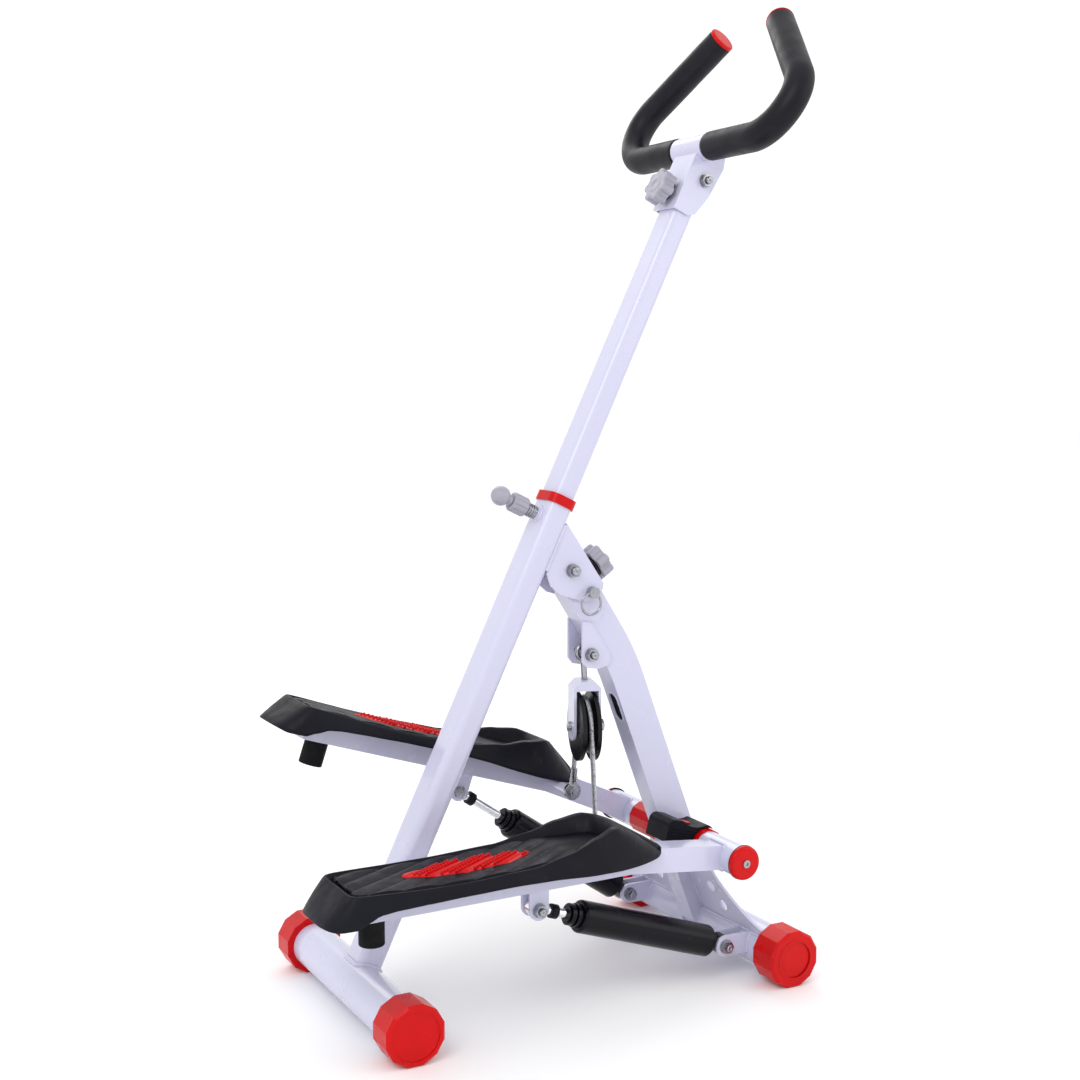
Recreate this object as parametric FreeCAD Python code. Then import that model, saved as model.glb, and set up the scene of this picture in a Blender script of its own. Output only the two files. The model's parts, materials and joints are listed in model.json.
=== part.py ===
"""Folding hydraulic stepper with a telescopic mast and a horseshoe handlebar.

Millimetres, +Z up, +X forward (the way the user faces), +Y to the user's left.
The floor is Z = 0 and Y = 0 is the plane of symmetry.  Everything is laid out
with X = 0 at the rear foot bar and moved by CENTRE_X as it is written out, so
that the origin of the written parts is the bottom centre of the machine.
The right pedal is down and the left pedal is up.
"""
import FreeCAD, Part
import math
import os

V = FreeCAD.Vector
os.makedirs("parts", exist_ok=True)

# ---- driving dimensions ------------------------------------------------------
CENTRE_X = 223.0          # from the rear foot bar to the middle of the machine
BASE_LENGTH = 460.0       # between the two foot bars
FOOT_TUBE_R = 25.0
FOOT_TUBE_WALL = 1.8
CAP_APOTHEM = 32.0        # twelve-sided foot caps stand on one flat
CAP_LENGTH = 36.0
REAR_HALF = 164.0
FRONT_HALF = 175.0

MAST_TILT = 25.7          # degrees forward of vertical
MAST_DEEP, MAST_WIDE, MAST_CORNER, MAST_WALL = 30.0, 42.0, 9.0, 1.7
MAST_TOP = 570.0          # along the mast, from the rear foot bar
INNER_DEEP, INNER_WIDE, INNER_CORNER, INNER_WALL = 26.0, 38.0, 7.0, 1.5
INNER_BOTTOM = 330.0
TILT_BOLT_S, TILT_BOLT_N = 976.0, 7.5
PIN_S = 548.6             # height pin, along the mast
HOLE_PITCH = 25.0
HOLE_COUNT = 7
PIN_R = 4.0

FOLD_S, FOLD_N = 506.0, 43.9      # fold bolt, along and in front of the mast
FOLD_BOLT_R = 5.0
LOCK_S, LOCK_N = 493.5, 77.6      # ring pin
LOCK_R = 4.0
FOLD_RANGE = 30.0

STRUT_DEEP, STRUT_WIDE, STRUT_WALL = 40.0, 30.0, 1.8
STRUT_FOOT_X = 452.0
STRUT_TILT = 20.7         # lower run, degrees from vertical
STRUT_HEAD_TILT = 32.7    # upper run
STRUT_BEND_R = 300.0
SLOT_R, SLOT_HALF, SLOT_Z = 8.5, 9.5, 303.0       # hand slot in the strut's rear wall

PIVOT_X, PIVOT_Z = 411.0, 143.0
AXLE_R = 8.0
PIVOT_TUBE_R = 15.0
SPACER_END = 72.0
SLEEVE_R, SLEEVE_END = 18.0, 140.0
LEFT_LIFT = 18.5          # the left pedal is this much higher, degrees

ARM_Y = 105.0             # middle of each pedal, arm and cylinder
ARM_WIDE, ARM_DEEP = 30.0, 28.0
ARM_HEEL = (-46.0, 153.5)         # middle line of the arm, heel to bend
ARM_BEND = (276.0, 157.6)
EYE_X, EYE_Z = 165.0, 120.0       # cylinder bolt under the right arm
FOOT_EYE_X, FOOT_EYE_Z = 406.0, 38.5
EYE_BOLT_R = 4.0
CYL_R = 18.0
CYL_START, CYL_END, GLAND_END = 19.0, 199.0, 214.0
COLLAR_START, COLLAR_END = 227.0, 235.0

HUB_X, HUB_Z = 286.0, 285.0       # pulley
SWIVEL = 16.0             # the block hangs turned by this much
PULLEY_R, PULLEY_WIDE = 40.0, 22.0
CABLE_R = 3.0
CABLE_LINE_R = 33.5       # centre line of the cable on the pulley
HANG_X, HANG_Z = 284.0, 371.0
END_X, END_Z, END_Y = 280.0, 157.0, 38.0   # cable end on the right arm

BAR_TILT = 62.0           # degrees, from level to the plane of the handlebar
BAR_R, BAR_BORE = 12.7, 11.2
GRIP_R = 16.5
GRIP_START = 31.0

# ---- helpers ----------------------------------------------------------------
X, Y, Z = V(1, 0, 0), V(0, 1, 0), V(0, 0, 1)
written = {}


def write(name, *shapes):
    """Write one node: one solid or a group of separate solids."""
    group = []
    for shape in shapes:
        group += [s.translated(V(-CENTRE_X, 0, 0)) for s in shape.Solids]
    node = group[0] if len(group) == 1 else Part.makeCompound(group)
    node.exportStep("parts/%s.step" % name)
    written[name] = node


def rod(radius, start, end):
    """A round bar between two points."""
    way = end - start
    return Part.makeCylinder(radius, way.Length, start, way)


def ring(outer, inner, start, end):
    return rod(outer, start, end).cut(rod(inner, start, end))


def across(radius, x, z, y0, y1):
    """A round bar along Y."""
    return rod(radius, V(x, y0, z), V(x, y1, z))


def hexagon(size, centre, axis, length):
    """A hexagonal prism, size across the flats, from centre along axis."""
    corners = []
    for k in range(7):
        turn = math.radians(60 * k)
        corners.append(V(math.cos(turn), math.sin(turn), 0) * (size / math.sqrt(3)))
    prism = Part.Face(Part.makePolygon(corners)).extrude(V(0, 0, length))
    prism.Placement = FreeCAD.Placement(centre, FreeCAD.Rotation(Z, axis))
    return prism


def slab(points, y0, y1):
    """A flat plate: an X-Z polygon from y0 to y1."""
    corners = [V(x, y0, z) for x, z in points]
    face = Part.Face(Part.makePolygon(corners + corners[:1]))
    return face.extrude(V(0, y1 - y0, 0))


def rounded(shape, radius, choose):
    """Fillet the edges that choose picks."""
    edges = [e for e in shape.Edges if choose(e)]
    return shape.makeFillet(radius, edges) if edges else shape


def along(axis):
    """Pick the straight edges that run along an axis."""
    def pick(edge):
        if edge.Curve.TypeId != "Part::GeomLine":
            return False
        return abs(edge.Curve.Direction.dot(axis)) > 0.999
    return pick


def box_between(x0, x1, y0, y1, z0, z1):
    return Part.makeBox(x1 - x0, y1 - y0, z1 - z0, V(x0, y0, z0))


def post(deep, wide, corner, z0, z1):
    """An upright bar with a rounded rectangular section."""
    bar = box_between(-deep / 2, deep / 2, -wide / 2, wide / 2, z0, z1)
    return rounded(bar, corner, along(Z))


def bolt_set(x, z, y0, y1, radius, head=6.5):
    """A bolt along Y: head before y0, washer and nut after y1."""
    shank = across(radius, x, z, y0 - 0.01, y1 + radius + 3.5)
    high = radius * 1.1
    cap = hexagon(2 * head, V(x, y0 - high, z), Y, high)
    nut = hexagon(2 * head, V(x, y1 + 1.5, z), Y, radius * 1.3)
    washers = across(head + 1.5, x, z, y1, y1 + 1.5)
    return shank.fuse([cap, nut, washers]).removeSplitter()


def mirrored(shape):
    return shape.mirror(V(0, 0, 0), Y)


MAST_PLACE = FreeCAD.Placement(V(0, 0, CAP_APOTHEM), FreeCAD.Rotation(Y, MAST_TILT))


def on_mast(shape):
    """Move a shape from the mast's own frame (X forward, Z up the mast)."""
    moved = shape.copy()
    moved.Placement = MAST_PLACE.multiply(moved.Placement)
    return moved


def mast_point(n, s, y=0.0):
    return MAST_PLACE.multVec(V(n, y, s))


# ---- foot bars ----------------------------------------------------------------
def foot_tube(x, half):
    inner = FOOT_TUBE_R - FOOT_TUBE_WALL
    end = half - 4.0
    return ring(FOOT_TUBE_R, inner, V(x, -end, CAP_APOTHEM), V(x, end, CAP_APOTHEM))


def foot_cap(x, half, side, dish_r, dish):
    """A twelve-sided cup over the end of a foot bar, dished at its end."""
    corner = CAP_APOTHEM / math.cos(math.radians(15))
    points = []
    for k in range(13):
        turn = math.radians(30 * k + 15)
        points.append(V(corner * math.sin(turn), 0, corner * math.cos(turn)))
    prism = Part.Face(Part.makePolygon(points)).extrude(V(0, CAP_LENGTH, 0))
    prism = prism.makeChamfer(2.5, [e for e in prism.Edges if e.BoundBox.YMin > CAP_LENGTH - 0.1])
    bore = rod(FOOT_TUBE_R + 0.05, V(0, -1, 0), V(0, CAP_LENGTH - 4.0, 0))
    cup = prism.cut(bore)
    cup = cup.cut(rod(dish_r, V(0, CAP_LENGTH - dish, 0), V(0, CAP_LENGTH + 1, 0)))
    cup.translate(V(x, half - CAP_LENGTH, CAP_APOTHEM))
    return cup if side > 0 else mirrored(cup)


def strut_axis_x(z):
    return STRUT_FOOT_X - (z - CAP_APOTHEM) * math.tan(math.radians(STRUT_TILT))


# ---- front frame ----------------------------------------------------------------
FOLD = mast_point(FOLD_N, FOLD_S)
LOCK = mast_point(LOCK_N, LOCK_S)


def strut_profile(grow):
    """Side outline of the strut: a bent bar, round at the fold bolt."""
    half = STRUT_DEEP / 2 + grow
    up = math.radians(STRUT_HEAD_TILT)
    low = math.radians(STRUT_TILT)
    d1 = V(math.sin(up), 0, -math.cos(up))
    d2 = V(math.sin(low), 0, -math.cos(low))
    n1 = V(math.cos(up), 0, math.sin(up))
    n2 = V(math.cos(low), 0, math.sin(low))
    foot = V(STRUT_FOOT_X, 0, CAP_APOTHEM)
    # The two centre lines meet at the bend.
    gap = foot - FOLD
    reach = (gap.x * d2.z - gap.z * d2.x) / (d1.x * d2.z - d1.z * d2.x)
    corner = FOLD + d1 * reach
    tangent = STRUT_BEND_R * math.tan((up - low) / 2)
    a, b = corner - d1 * tangent, corner + d2 * tangent
    centre = a - n1 * STRUT_BEND_R
    middle = (n1 + n2).normalize()

    def arc(offset):
        return Part.Arc(centre + n1 * (STRUT_BEND_R + offset),
                        centre + middle * (STRUT_BEND_R + offset),
                        centre + n2 * (STRUT_BEND_R + offset)).toShape()
    front = [FOLD + n1 * half, a + n1 * half, b + n2 * half, foot + n2 * half]
    back = [FOLD - n1 * half, a - n1 * half, b - n2 * half, foot - n2 * half]
    top = Part.Arc(front[0], FOLD - d1 * half, back[0]).toShape()
    edges = [top, Part.makeLine(front[0], front[1]), arc(half),
             Part.makeLine(front[2], front[3]), Part.makeLine(front[3], back[3]),
             Part.makeLine(back[3], back[2]), arc(-half), Part.makeLine(back[1], back[0])]
    return Part.Face(Part.Wire(Part.__sortEdges__(edges)))


def about_fold(radius, degrees):
    """Point in the side view at a distance and an angle from the fold bolt."""
    turn = math.radians(degrees)
    return FOLD + V(radius * math.cos(turn), 0, radius * math.sin(turn))


def lock_slot(half):
    """Cutter for the arc the ring pin follows while the machine folds."""
    arm = (LOCK - FOLD).Length
    first = math.degrees(math.atan2(LOCK.z - FOLD.z, LOCK.x - FOLD.x))
    middle, last = first + FOLD_RANGE / 2, first + FOLD_RANGE
    low, high = arm - half, arm + half
    outer = Part.Arc(about_fold(high, first), about_fold(high, middle), about_fold(high, last))
    inner = Part.Arc(about_fold(low, first), about_fold(low, middle), about_fold(low, last))
    sides = [Part.makeLine(about_fold(low, a), about_fold(high, a)) for a in (first, last)]
    wire = Part.Wire(Part.__sortEdges__([outer.toShape(), inner.toShape()] + sides))
    slot = Part.Face(wire).extrude(V(0, 60, 0)).translated(V(0, -30, 0))
    for turn in (first, last):
        end = about_fold(arm, turn)
        slot = slot.fuse(across(half, end.x, end.z, -30, 30))
    return slot.removeSplitter()


def strut_tube():
    outer = strut_profile(0).extrude(V(0, STRUT_WIDE, 0))
    outer.translate(V(0, -STRUT_WIDE / 2, 0))
    inner = strut_profile(-STRUT_WALL).extrude(V(0, STRUT_WIDE - 2 * STRUT_WALL, 0))
    inner.translate(V(0, -STRUT_WIDE / 2 + STRUT_WALL, 0))
    strut = outer.cut(inner)
    strut = strut.cut(across(FOOT_TUBE_R, BASE_LENGTH, CAP_APOTHEM, -30, 30))
    strut = strut.cut(box_between(380, 520, -30, 30, 0, CAP_APOTHEM))
    strut = strut.cut(across(PIVOT_TUBE_R, PIVOT_X, PIVOT_Z, -30, 30))
    # The fold bolt passes a steel bush between the side walls.
    strut = strut.fuse(across(8.0, FOLD.x, FOLD.z, -STRUT_WIDE / 2, STRUT_WIDE / 2))
    strut = strut.cut(across(FOLD_BOLT_R + 0.08, FOLD.x, FOLD.z, -30, 30))
    # The ring pin travels in an arc slot, which ends the fold.
    strut = strut.cut(lock_slot(LOCK_R + 0.4))
    # Hand slot in the rear wall, above the pulley's lower edge.
    slot = box_between(-6, 6, -SLOT_R, SLOT_R, -SLOT_HALF, SLOT_HALF)
    slot = slot.fuse([rod(SLOT_R, V(-6, 0, z), V(6, 0, z)) for z in (-SLOT_HALF, SLOT_HALF)])
    slot.rotate(V(0, 0, 0), Y, -STRUT_TILT)
    slot.translate(V(strut_axis_x(SLOT_Z) - STRUT_DEEP / 2, 0, SLOT_Z))
    return strut.cut(slot).Solids[0]


def gusset_wing():
    """Right-hand half of the flared plate between strut and front foot bar."""
    half = STRUT_WIDE / 2
    # (y, height above the foot bar's middle along the plate)
    edge = [V(62, 100, 0), V(70, 78, 0), V(92, 55, 0), V(114, 39, 0), V(138.4, 28, 0)]
    flare = Part.BSplineCurve()
    flare.interpolate(edge)
    outline = [Part.makeLine(V(half, 0, 0), V(half, 100, 0)),
               Part.makeLine(V(half, 100, 0), edge[0]),
               flare.toShape(),
               Part.makeLine(edge[-1], V(138.4, 0, 0)),
               Part.makeLine(V(138.4, 0, 0), V(half, 0, 0))]
    wing = Part.Face(Part.Wire(outline)).extrude(V(0, 0, 3.0))
    for y, up in ((54.0, 61.0), (69.0, 40.0)):
        wing = wing.cut(rod(7.0, V(y, up, -1), V(y, up, 4)))
    # Plate frame: first axis to the right (-Y), second up the strut.
    up = V(-math.sin(math.radians(STRUT_TILT)), 0, math.cos(math.radians(STRUT_TILT)))
    wing.Placement = FreeCAD.Placement(V(STRUT_FOOT_X, 0, CAP_APOTHEM),
                                       FreeCAD.Rotation(V(0, -1, 0), up, V(0, 0, 0), "XYZ"))
    wing = wing.cut(across(FOOT_TUBE_R, BASE_LENGTH, CAP_APOTHEM, -200, 200))
    wing = wing.cut(across(PIVOT_TUBE_R, PIVOT_X, PIVOT_Z, -200, 200))
    return max(wing.Solids, key=lambda s: s.Volume)


def hanger_plate():
    """Right-hand plate that carries the pulley's eye bolt."""
    points = [(273, 410), (273, 363), (279, 356), (293, 353.5), (307, 357), (311, 366),
              (297, 388), (284, 408)]
    plate = slab(points, -STRUT_WIDE / 2 - 3, -STRUT_WIDE / 2)
    return plate.cut(across(EYE_BOLT_R, HANG_X, HANG_Z, -40, 40))


def clevis_plate(y):
    """One ear of the cylinder clevis on the front foot bar."""
    ear = box_between(FOOT_EYE_X, BASE_LENGTH - 8, y - 1.5, y + 1.5, FOOT_EYE_Z - 12, FOOT_EYE_Z + 12)
    ear = ear.fuse(across(12.0, FOOT_EYE_X, FOOT_EYE_Z, y - 1.5, y + 1.5)).removeSplitter()
    ear = ear.cut(across(FOOT_TUBE_R, BASE_LENGTH, CAP_APOTHEM, -200, 200))
    return ear.cut(across(EYE_BOLT_R, FOOT_EYE_X, FOOT_EYE_Z, -200, 200))


def pivot_spacer():
    """Twelve-sided red sleeve on the right half of the pivot tube."""
    length = SPACER_END - STRUT_WIDE / 2 - 6
    points = []
    for k in range(13):
        turn = math.radians(30 * k + 15)
        points.append(V(20.0 * math.sin(turn), 0, 20.0 * math.cos(turn)))
    prism = Part.Face(Part.makePolygon(points)).extrude(V(0, length, 0))
    prism = prism.cut(rod(PIVOT_TUBE_R + 0.05, V(0, -1, 0), V(0, length + 1, 0)))
    prism.translate(V(PIVOT_X, -SPACER_END, PIVOT_Z))
    return prism.cut(gusset_wing())


def end_cap():
    """Domed red cap on the right end of the pivot axle."""
    y0 = -SLEEVE_END - 0.5
    cap = across(19.5, PIVOT_X, PIVOT_Z, y0 - 6.5, y0)
    cap = rounded(cap, 4.0, lambda e: e.BoundBox.YMax < y0 - 6.4)
    return cap.cut(across(AXLE_R, PIVOT_X, PIVOT_Z, y0 - 2.0, y0 + 1))


def cap_bolt():
    """Socket screw in the middle of an end cap."""
    y0 = -SLEEVE_END - 7.0
    head = across(4.5, PIVOT_X, PIVOT_Z, y0 - 1.5, y0)
    return head.cut(hexagon(4.0, V(PIVOT_X, y0 - 1.6, PIVOT_Z), Y, 1.4))


CASE_AT = V(390, -45, 157.5)        # middle of the step counter
CASE_TILT = 15.0                  # it slopes down to the front


def on_case(shape):
    """Move a shape from the step counter's own frame to its place."""
    moved = shape.copy()
    moved.Placement = FreeCAD.Placement(CASE_AT, FreeCAD.Rotation(Y, CASE_TILT)).multiply(moved.Placement)
    return moved


def computer_case():
    """Small step counter with two humps, on the right pivot spacer."""
    case = box_between(-33, 33, -21, 21, -12, 15)
    top_ends = [e for e in case.Edges if along(Y)(e) and e.BoundBox.ZMin > 14]
    case = case.makeFillet(9.0, [min(top_ends, key=lambda e: e.BoundBox.XMin)])
    front = [e for e in case.Edges if along(Y)(e) and e.BoundBox.ZMin > 14 and e.BoundBox.XMin > 30]
    case = case.makeFillet(13.0, front)
    case = case.cut(rod(30.0, V(3, -30, 40), V(3, 30, 40)))
    case = case.cut(rod(6.3, V(3, 0, 1), V(3, 0, 20)))
    saddle = across(20.4, PIVOT_X, PIVOT_Z, -100, 100)
    return max(on_case(case).cut(saddle).Solids, key=lambda s: s.Volume)


def computer_button():
    return on_case(rod(6.0, V(3, 0, 7.6), V(3, 0, 12.0)))


def swivelled(shape):
    """Turn a shape of the pulley block about its hanging bolt."""
    moved = shape.copy()
    moved.rotate(V(HUB_X, 0, 0), Z, -SWIVEL)
    return moved


def eye_bolt():
    """Eye on the hanger bolt, shank down into the pulley block."""
    loop = Part.makeTorus(8.0, 3.0, V(HANG_X, 0, HANG_Z), Y)
    shank = rod(3.5, V(HANG_X, 0, HANG_Z - 8), V(HUB_X, 0, HUB_Z + 49))
    head = rod(6.5, V(HUB_X, 0, HUB_Z + 46), V(HUB_X, 0, HUB_Z + 49.0))
    return loop.fuse([shank, head]).removeSplitter()


def pulley_block():
    """White bracket over the pulley: crown with sloping shoulders, two cheeks."""
    half = PULLEY_WIDE / 2 + 2.0
    x, z = HUB_X, HUB_Z
    outer = box_between(x - half - 3, x + half + 3, -15, 15, z - 16, z + 54)
    shoulders = [e for e in outer.Edges if along(Y)(e) and e.BoundBox.ZMin > z + 50]
    outer = outer.makeChamfer(7.5, shoulders)
    ends = [e for e in outer.Edges if along(X)(e) and e.BoundBox.ZMax < z]
    outer = outer.makeFillet(13.0, ends)
    inner = box_between(x - half, x + half, -20, 20, z - 40, z + 43)
    block = outer.cut(inner)
    block = block.cut(rod(4.0, V(x, 0, z + 30), V(x, 0, z + 60)))
    block = block.cut(rod(6.6, V(x, 0, z + 45.8), V(x, 0, z + 49.2)))
    return swivelled(block.cut(rod(4.0, V(x - 40, 0, z), V(x + 40, 0, z))))


def pulley_axle():
    half = PULLEY_WIDE / 2 + 5.0
    shank = rod(4.0, V(HUB_X - half, 0, HUB_Z), V(HUB_X + half + 7, 0, HUB_Z))
    head = rod(6.0, V(HUB_X - half - 4, 0, HUB_Z), V(HUB_X - half, 0, HUB_Z))
    nut = hexagon(12.0, V(HUB_X + half, 0, HUB_Z), X, 6.0)
    return swivelled(shank.fuse([head, nut]).removeSplitter())


def pulley_wheel():
    half = PULLEY_WIDE / 2
    wheel = rod(PULLEY_R, V(HUB_X - half, 0, HUB_Z), V(HUB_X + half, 0, HUB_Z))
    groove = Part.makeTorus(CABLE_LINE_R + 3.5, 6.9, V(HUB_X, 0, HUB_Z), X)
    wheel = wheel.cut(groove)
    return swivelled(wheel.cut(rod(4.08, V(HUB_X - 20, 0, HUB_Z), V(HUB_X + 20, 0, HUB_Z))))


# ---- cable ------------------------------------------------------------------------
def lifted(point):
    """Where a point of the right arm's frame lies on the raised left arm."""
    turn = math.radians(LEFT_LIFT)
    dx, dz = point.x - PIVOT_X, point.z - PIVOT_Z
    return V(PIVOT_X + dx * math.cos(turn) + dz * math.sin(turn), -point.y,
             PIVOT_Z - dx * math.sin(turn) + dz * math.cos(turn))


RIGHT_END = V(END_X, -END_Y, END_Z)
LEFT_END = lifted(RIGHT_END)
FERRULE_NEAR, FERRULE_FAR = 12.0, 28.0     # from the cable's bolt


def tangent_point(end):
    """Where the cable from an end bolt meets the pulley's upper half."""
    turn = math.radians(SWIVEL)
    sideways = V(math.sin(turn), math.cos(turn), 0)       # in the wheel's plane
    hub = V(HUB_X, 0, HUB_Z)
    y, z = (end - hub).dot(sideways), end.z - hub.z
    spread = math.acos(CABLE_LINE_R / math.hypot(y, z))
    angle = math.atan2(z, y) + (spread if y > 0 else -spread)
    return hub + sideways * (CABLE_LINE_R * math.cos(angle)) + V(0, 0, CABLE_LINE_R * math.sin(angle))


def cable_leg(end):
    start = tangent_point(end)
    way = (start - end).normalize()
    return rod(CABLE_R, end + way * FERRULE_FAR, start)


def cable_wrap():
    """The stretch of cable that lies on the pulley."""
    right, left = tangent_point(RIGHT_END), tangent_point(LEFT_END)
    top = V(HUB_X, 0, HUB_Z + CABLE_LINE_R)
    path = Part.Wire([Part.Arc(right, top, left).toShape()])
    way = path.Edges[0].tangentAt(path.Edges[0].FirstParameter)
    section = Part.Wire([Part.Circle(right, way, CABLE_R).toShape()])
    return path.makePipeShell([section], True, True)


def cable_end(end):
    """Ferrule and eye that hold the cable on its bolt, built as one piece."""
    way = (tangent_point(end) - end).normalize()
    eye = across(10.5, end.x, end.z, end.y - 2.0, end.y + 2.0)
    neck = rod(1.9, end + way * 9.0, end + way * 13.0)
    ferrule = rod(4.6, end + way * FERRULE_NEAR, end + way * FERRULE_FAR)
    whole = eye.fuse([neck, ferrule])
    return whole.cut(across(EYE_BOLT_R, end.x, end.z, -80, 80)).removeSplitter()


# ---- pedals (right-hand one, level) -----------------------------------------------
def on_right(shape):
    """Move a shape from the pedal's middle plane to the right arm."""
    return shape.translated(V(0, -ARM_Y, 0))


def curve_through(points):
    curve = Part.BSplineCurve()
    curve.interpolate([V(x, y, z) for x, y, z in points])
    return curve.toShape()


def plan_outline(points, z):
    """Closed outline, symmetric about the pedal's middle: (x, half width)."""
    right = [(x, -w, z) for x, w in points]
    left = [(x, w, z) for x, w in reversed(points)]
    edges = [curve_through(right), Part.makeLine(V(*right[-1]), V(*left[0])),
             curve_through(left), Part.makeLine(V(*left[-1]), V(*right[0]))]
    return Part.Wire(edges)


def drafted(low, high, z0, z1):
    """Solid between a low and a high plan outline."""
    loft = Part.makeLoft([plan_outline(low, z0), plan_outline(high, z1)], True)
    if loft.Volume < 0:
        loft.reverse()
    return loft


# Plan outlines of the tray, (x, half width), at the foot and at the top of its draft.
TRAY_LOW = [(-90, 30), (-78, 42), (-45, 52), (20, 56), (90, 57), (160, 56),
            (220, 52), (275, 43), (305, 34), (318, 22)]
TRAY_HIGH = [(-90, 22), (-78, 31), (-45, 41), (20, 46), (90, 48), (160, 47),
             (220, 42), (275, 33), (305, 24), (318, 12)]
DRAFT_LOW, DRAFT_HIGH = 140.0, 215.0
# Side outlines, (x, z): rim, lower edge and foot bed.
CREST = [(-62, 179), (20, 177.5), (60, 177.5), (140, 181), (182, 189), (215, 199), (243, 205), (258, 204)]
SKIRT = [(316, 165), (303, 163), (272, 162), (248, 162), (215, 163.4), (161, 166.8), (118, 167.6),
         (59, 166.4), (18, 164.5), (-15, 162.5), (-33, 160), (-46, 153.5), (-58, 147.5), (-77, 146),
         (-88, 149)]
BED = [(-48, 176), (0, 175.6), (60, 175.6), (130, 177), (180, 180), (215, 183.5), (246, 188)]


def arm_outline(grow, back):
    """Side outline of the arm, grown all round and set back at the heel."""
    line = [ARM_HEEL, ARM_BEND, (PIVOT_X, PIVOT_Z)]
    top = ARM_DEEP / 2 + grow
    points = [(x, z + top) for x, z in line] + [(x, z - top) for x, z in reversed(line)]
    heel = ARM_HEEL[0] + back
    points[0] = (heel, points[0][1])
    points[-1] = (heel, points[-1][1])
    return points


def arm_bottom(x):
    """Height of the arm's underside between heel and bend."""
    (x0, z0), (x1, z1) = ARM_HEEL, ARM_BEND
    return z0 + (z1 - z0) * (x - x0) / (x1 - x0) - ARM_DEEP / 2


def side_band(points, y=80):
    return slab(points, -y, y)


def pedal_tray():
    """Plastic foot tray: drafted walls, raised toe rim, hollow underneath."""
    tray = drafted(TRAY_LOW, TRAY_HIGH, DRAFT_LOW, DRAFT_HIGH).common(side_band(CREST + SKIRT))
    bed = [(-47, 34), (-20, 40), (40, 43), (110, 44), (170, 42), (215, 35), (244, 24)]
    pocket = drafted(bed, bed, 165, 220)
    pocket = pocket.common(side_band(BED + [(246, 230), (-48, 230)]))
    tray = tray.cut(pocket)
    hollow = [(-70, 30), (-45, 39), (20, 43), (90, 44), (160, 43), (220, 38), (270, 28), (296, 18)]
    ceiling = [(x, z - 3.6) for x, z in BED]
    cut_under = [(-74, 140), (-62, 168)] + ceiling + [(262, 183), (298, 158), (300, 140)]
    under = drafted(hollow, hollow, 135, 200)
    tray = tray.cut(under.common(side_band(cut_under)))
    # Room for the arm, which leaves through the front skirt.
    reach = ARM_WIDE / 2 + 0.6
    tray = tray.cut(slab(arm_outline(0.6, -0.6), -reach, reach))
    return max(tray.Solids, key=lambda s: s.Volume)


def pedal_insert():
    """Leaf-shaped massage pad that lies in the foot bed."""
    half = [(12, 4), (28, 13), (60, 19), (95, 20), (130, 16), (150, 8), (158, 3)]
    leaf = drafted(half, half, 160, 190)
    top = [(x, z + 2.4) for x, z in reversed(BED)]
    return leaf.common(side_band(BED + top))


def pedal_arm():
    """Bent square tube, the pivot sleeve across its front end, cable stub."""
    half = ARM_WIDE / 2
    tube = slab(arm_outline(0, 0), -half, half)
    tube = tube.cut(slab(arm_outline(-1.8, 1.8), -half + 1.8, half - 1.8))
    tube = on_right(tube).cut(across(SLEEVE_R, PIVOT_X, PIVOT_Z, -SLEEVE_END, -SPACER_END))
    tube = tube.cut(box_between(PIVOT_X, PIVOT_X + 60, -200, 0, 100, 200))
    tube = max(tube.Solids, key=lambda s: s.Volume)
    sleeve = across(SLEEVE_R, PIVOT_X, PIVOT_Z, -SLEEVE_END, -SPACER_END - 0.5)
    sleeve = sleeve.cut(across(12.0, PIVOT_X, PIVOT_Z, -200, 0))
    stub = across(5.0, END_X, END_Z, -ARM_Y + half, -END_Y - 2.1)
    return [tube, sleeve, stub]


def sleeve_bushes():
    """Nylon bushes at both ends of the sleeve, running on the axle."""
    bushes = []
    for y0, y1 in ((-SLEEVE_END, -SLEEVE_END + 18), (-SPACER_END - 18.5, -SPACER_END - 0.5)):
        bush = across(12.0, PIVOT_X, PIVOT_Z, y0, y1)
        bushes.append(bush.cut(across(AXLE_R + 0.08, PIVOT_X, PIVOT_Z, -200, 0)))
    return bushes


def cylinder_bracket():
    """Two plates under the arm that hold the rod's bolt."""
    plates = []
    for y in (-ARM_Y - 10.5, -ARM_Y + 7.5):
        x0, x1 = EYE_X - 11.5, EYE_X + 11.5
        plate = slab([(x0, EYE_Z), (x0, arm_bottom(x0)), (x1, arm_bottom(x1)), (x1, EYE_Z)], y, y + 3)
        plate = plate.fuse(across(11.5, EYE_X, EYE_Z, y, y + 3)).removeSplitter()
        plates.append(plate.cut(across(EYE_BOLT_R, EYE_X, EYE_Z, -200, 0)))
    return plates


def heel_bumper():
    """Round rubber buffer under the heel of the arm."""
    x = -23.0
    buffer = rod(13.5, V(x, -ARM_Y, 112), V(x, -ARM_Y, arm_bottom(x - 13.5)))
    return rounded(buffer, 1.5, lambda e: e.BoundBox.ZMax < 113)


def pedal_bolts():
    """Rod bolt, and the screw and nut that hold the cable's eye."""
    rod_bolt = bolt_set(EYE_X, EYE_Z, -ARM_Y - 10.5, -ARM_Y + 10.5, EYE_BOLT_R)
    rod_bolt = rod_bolt.mirror(V(0, -ARM_Y, 0), Y)
    stud = across(EYE_BOLT_R, END_X, END_Z, -END_Y - 2.1, -END_Y + 9.0)
    nut = hexagon(12.0, V(END_X, -END_Y + 2.0, END_Z), Y, 5.5)
    return [rod_bolt, stud.fuse(nut).removeSplitter()]


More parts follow.
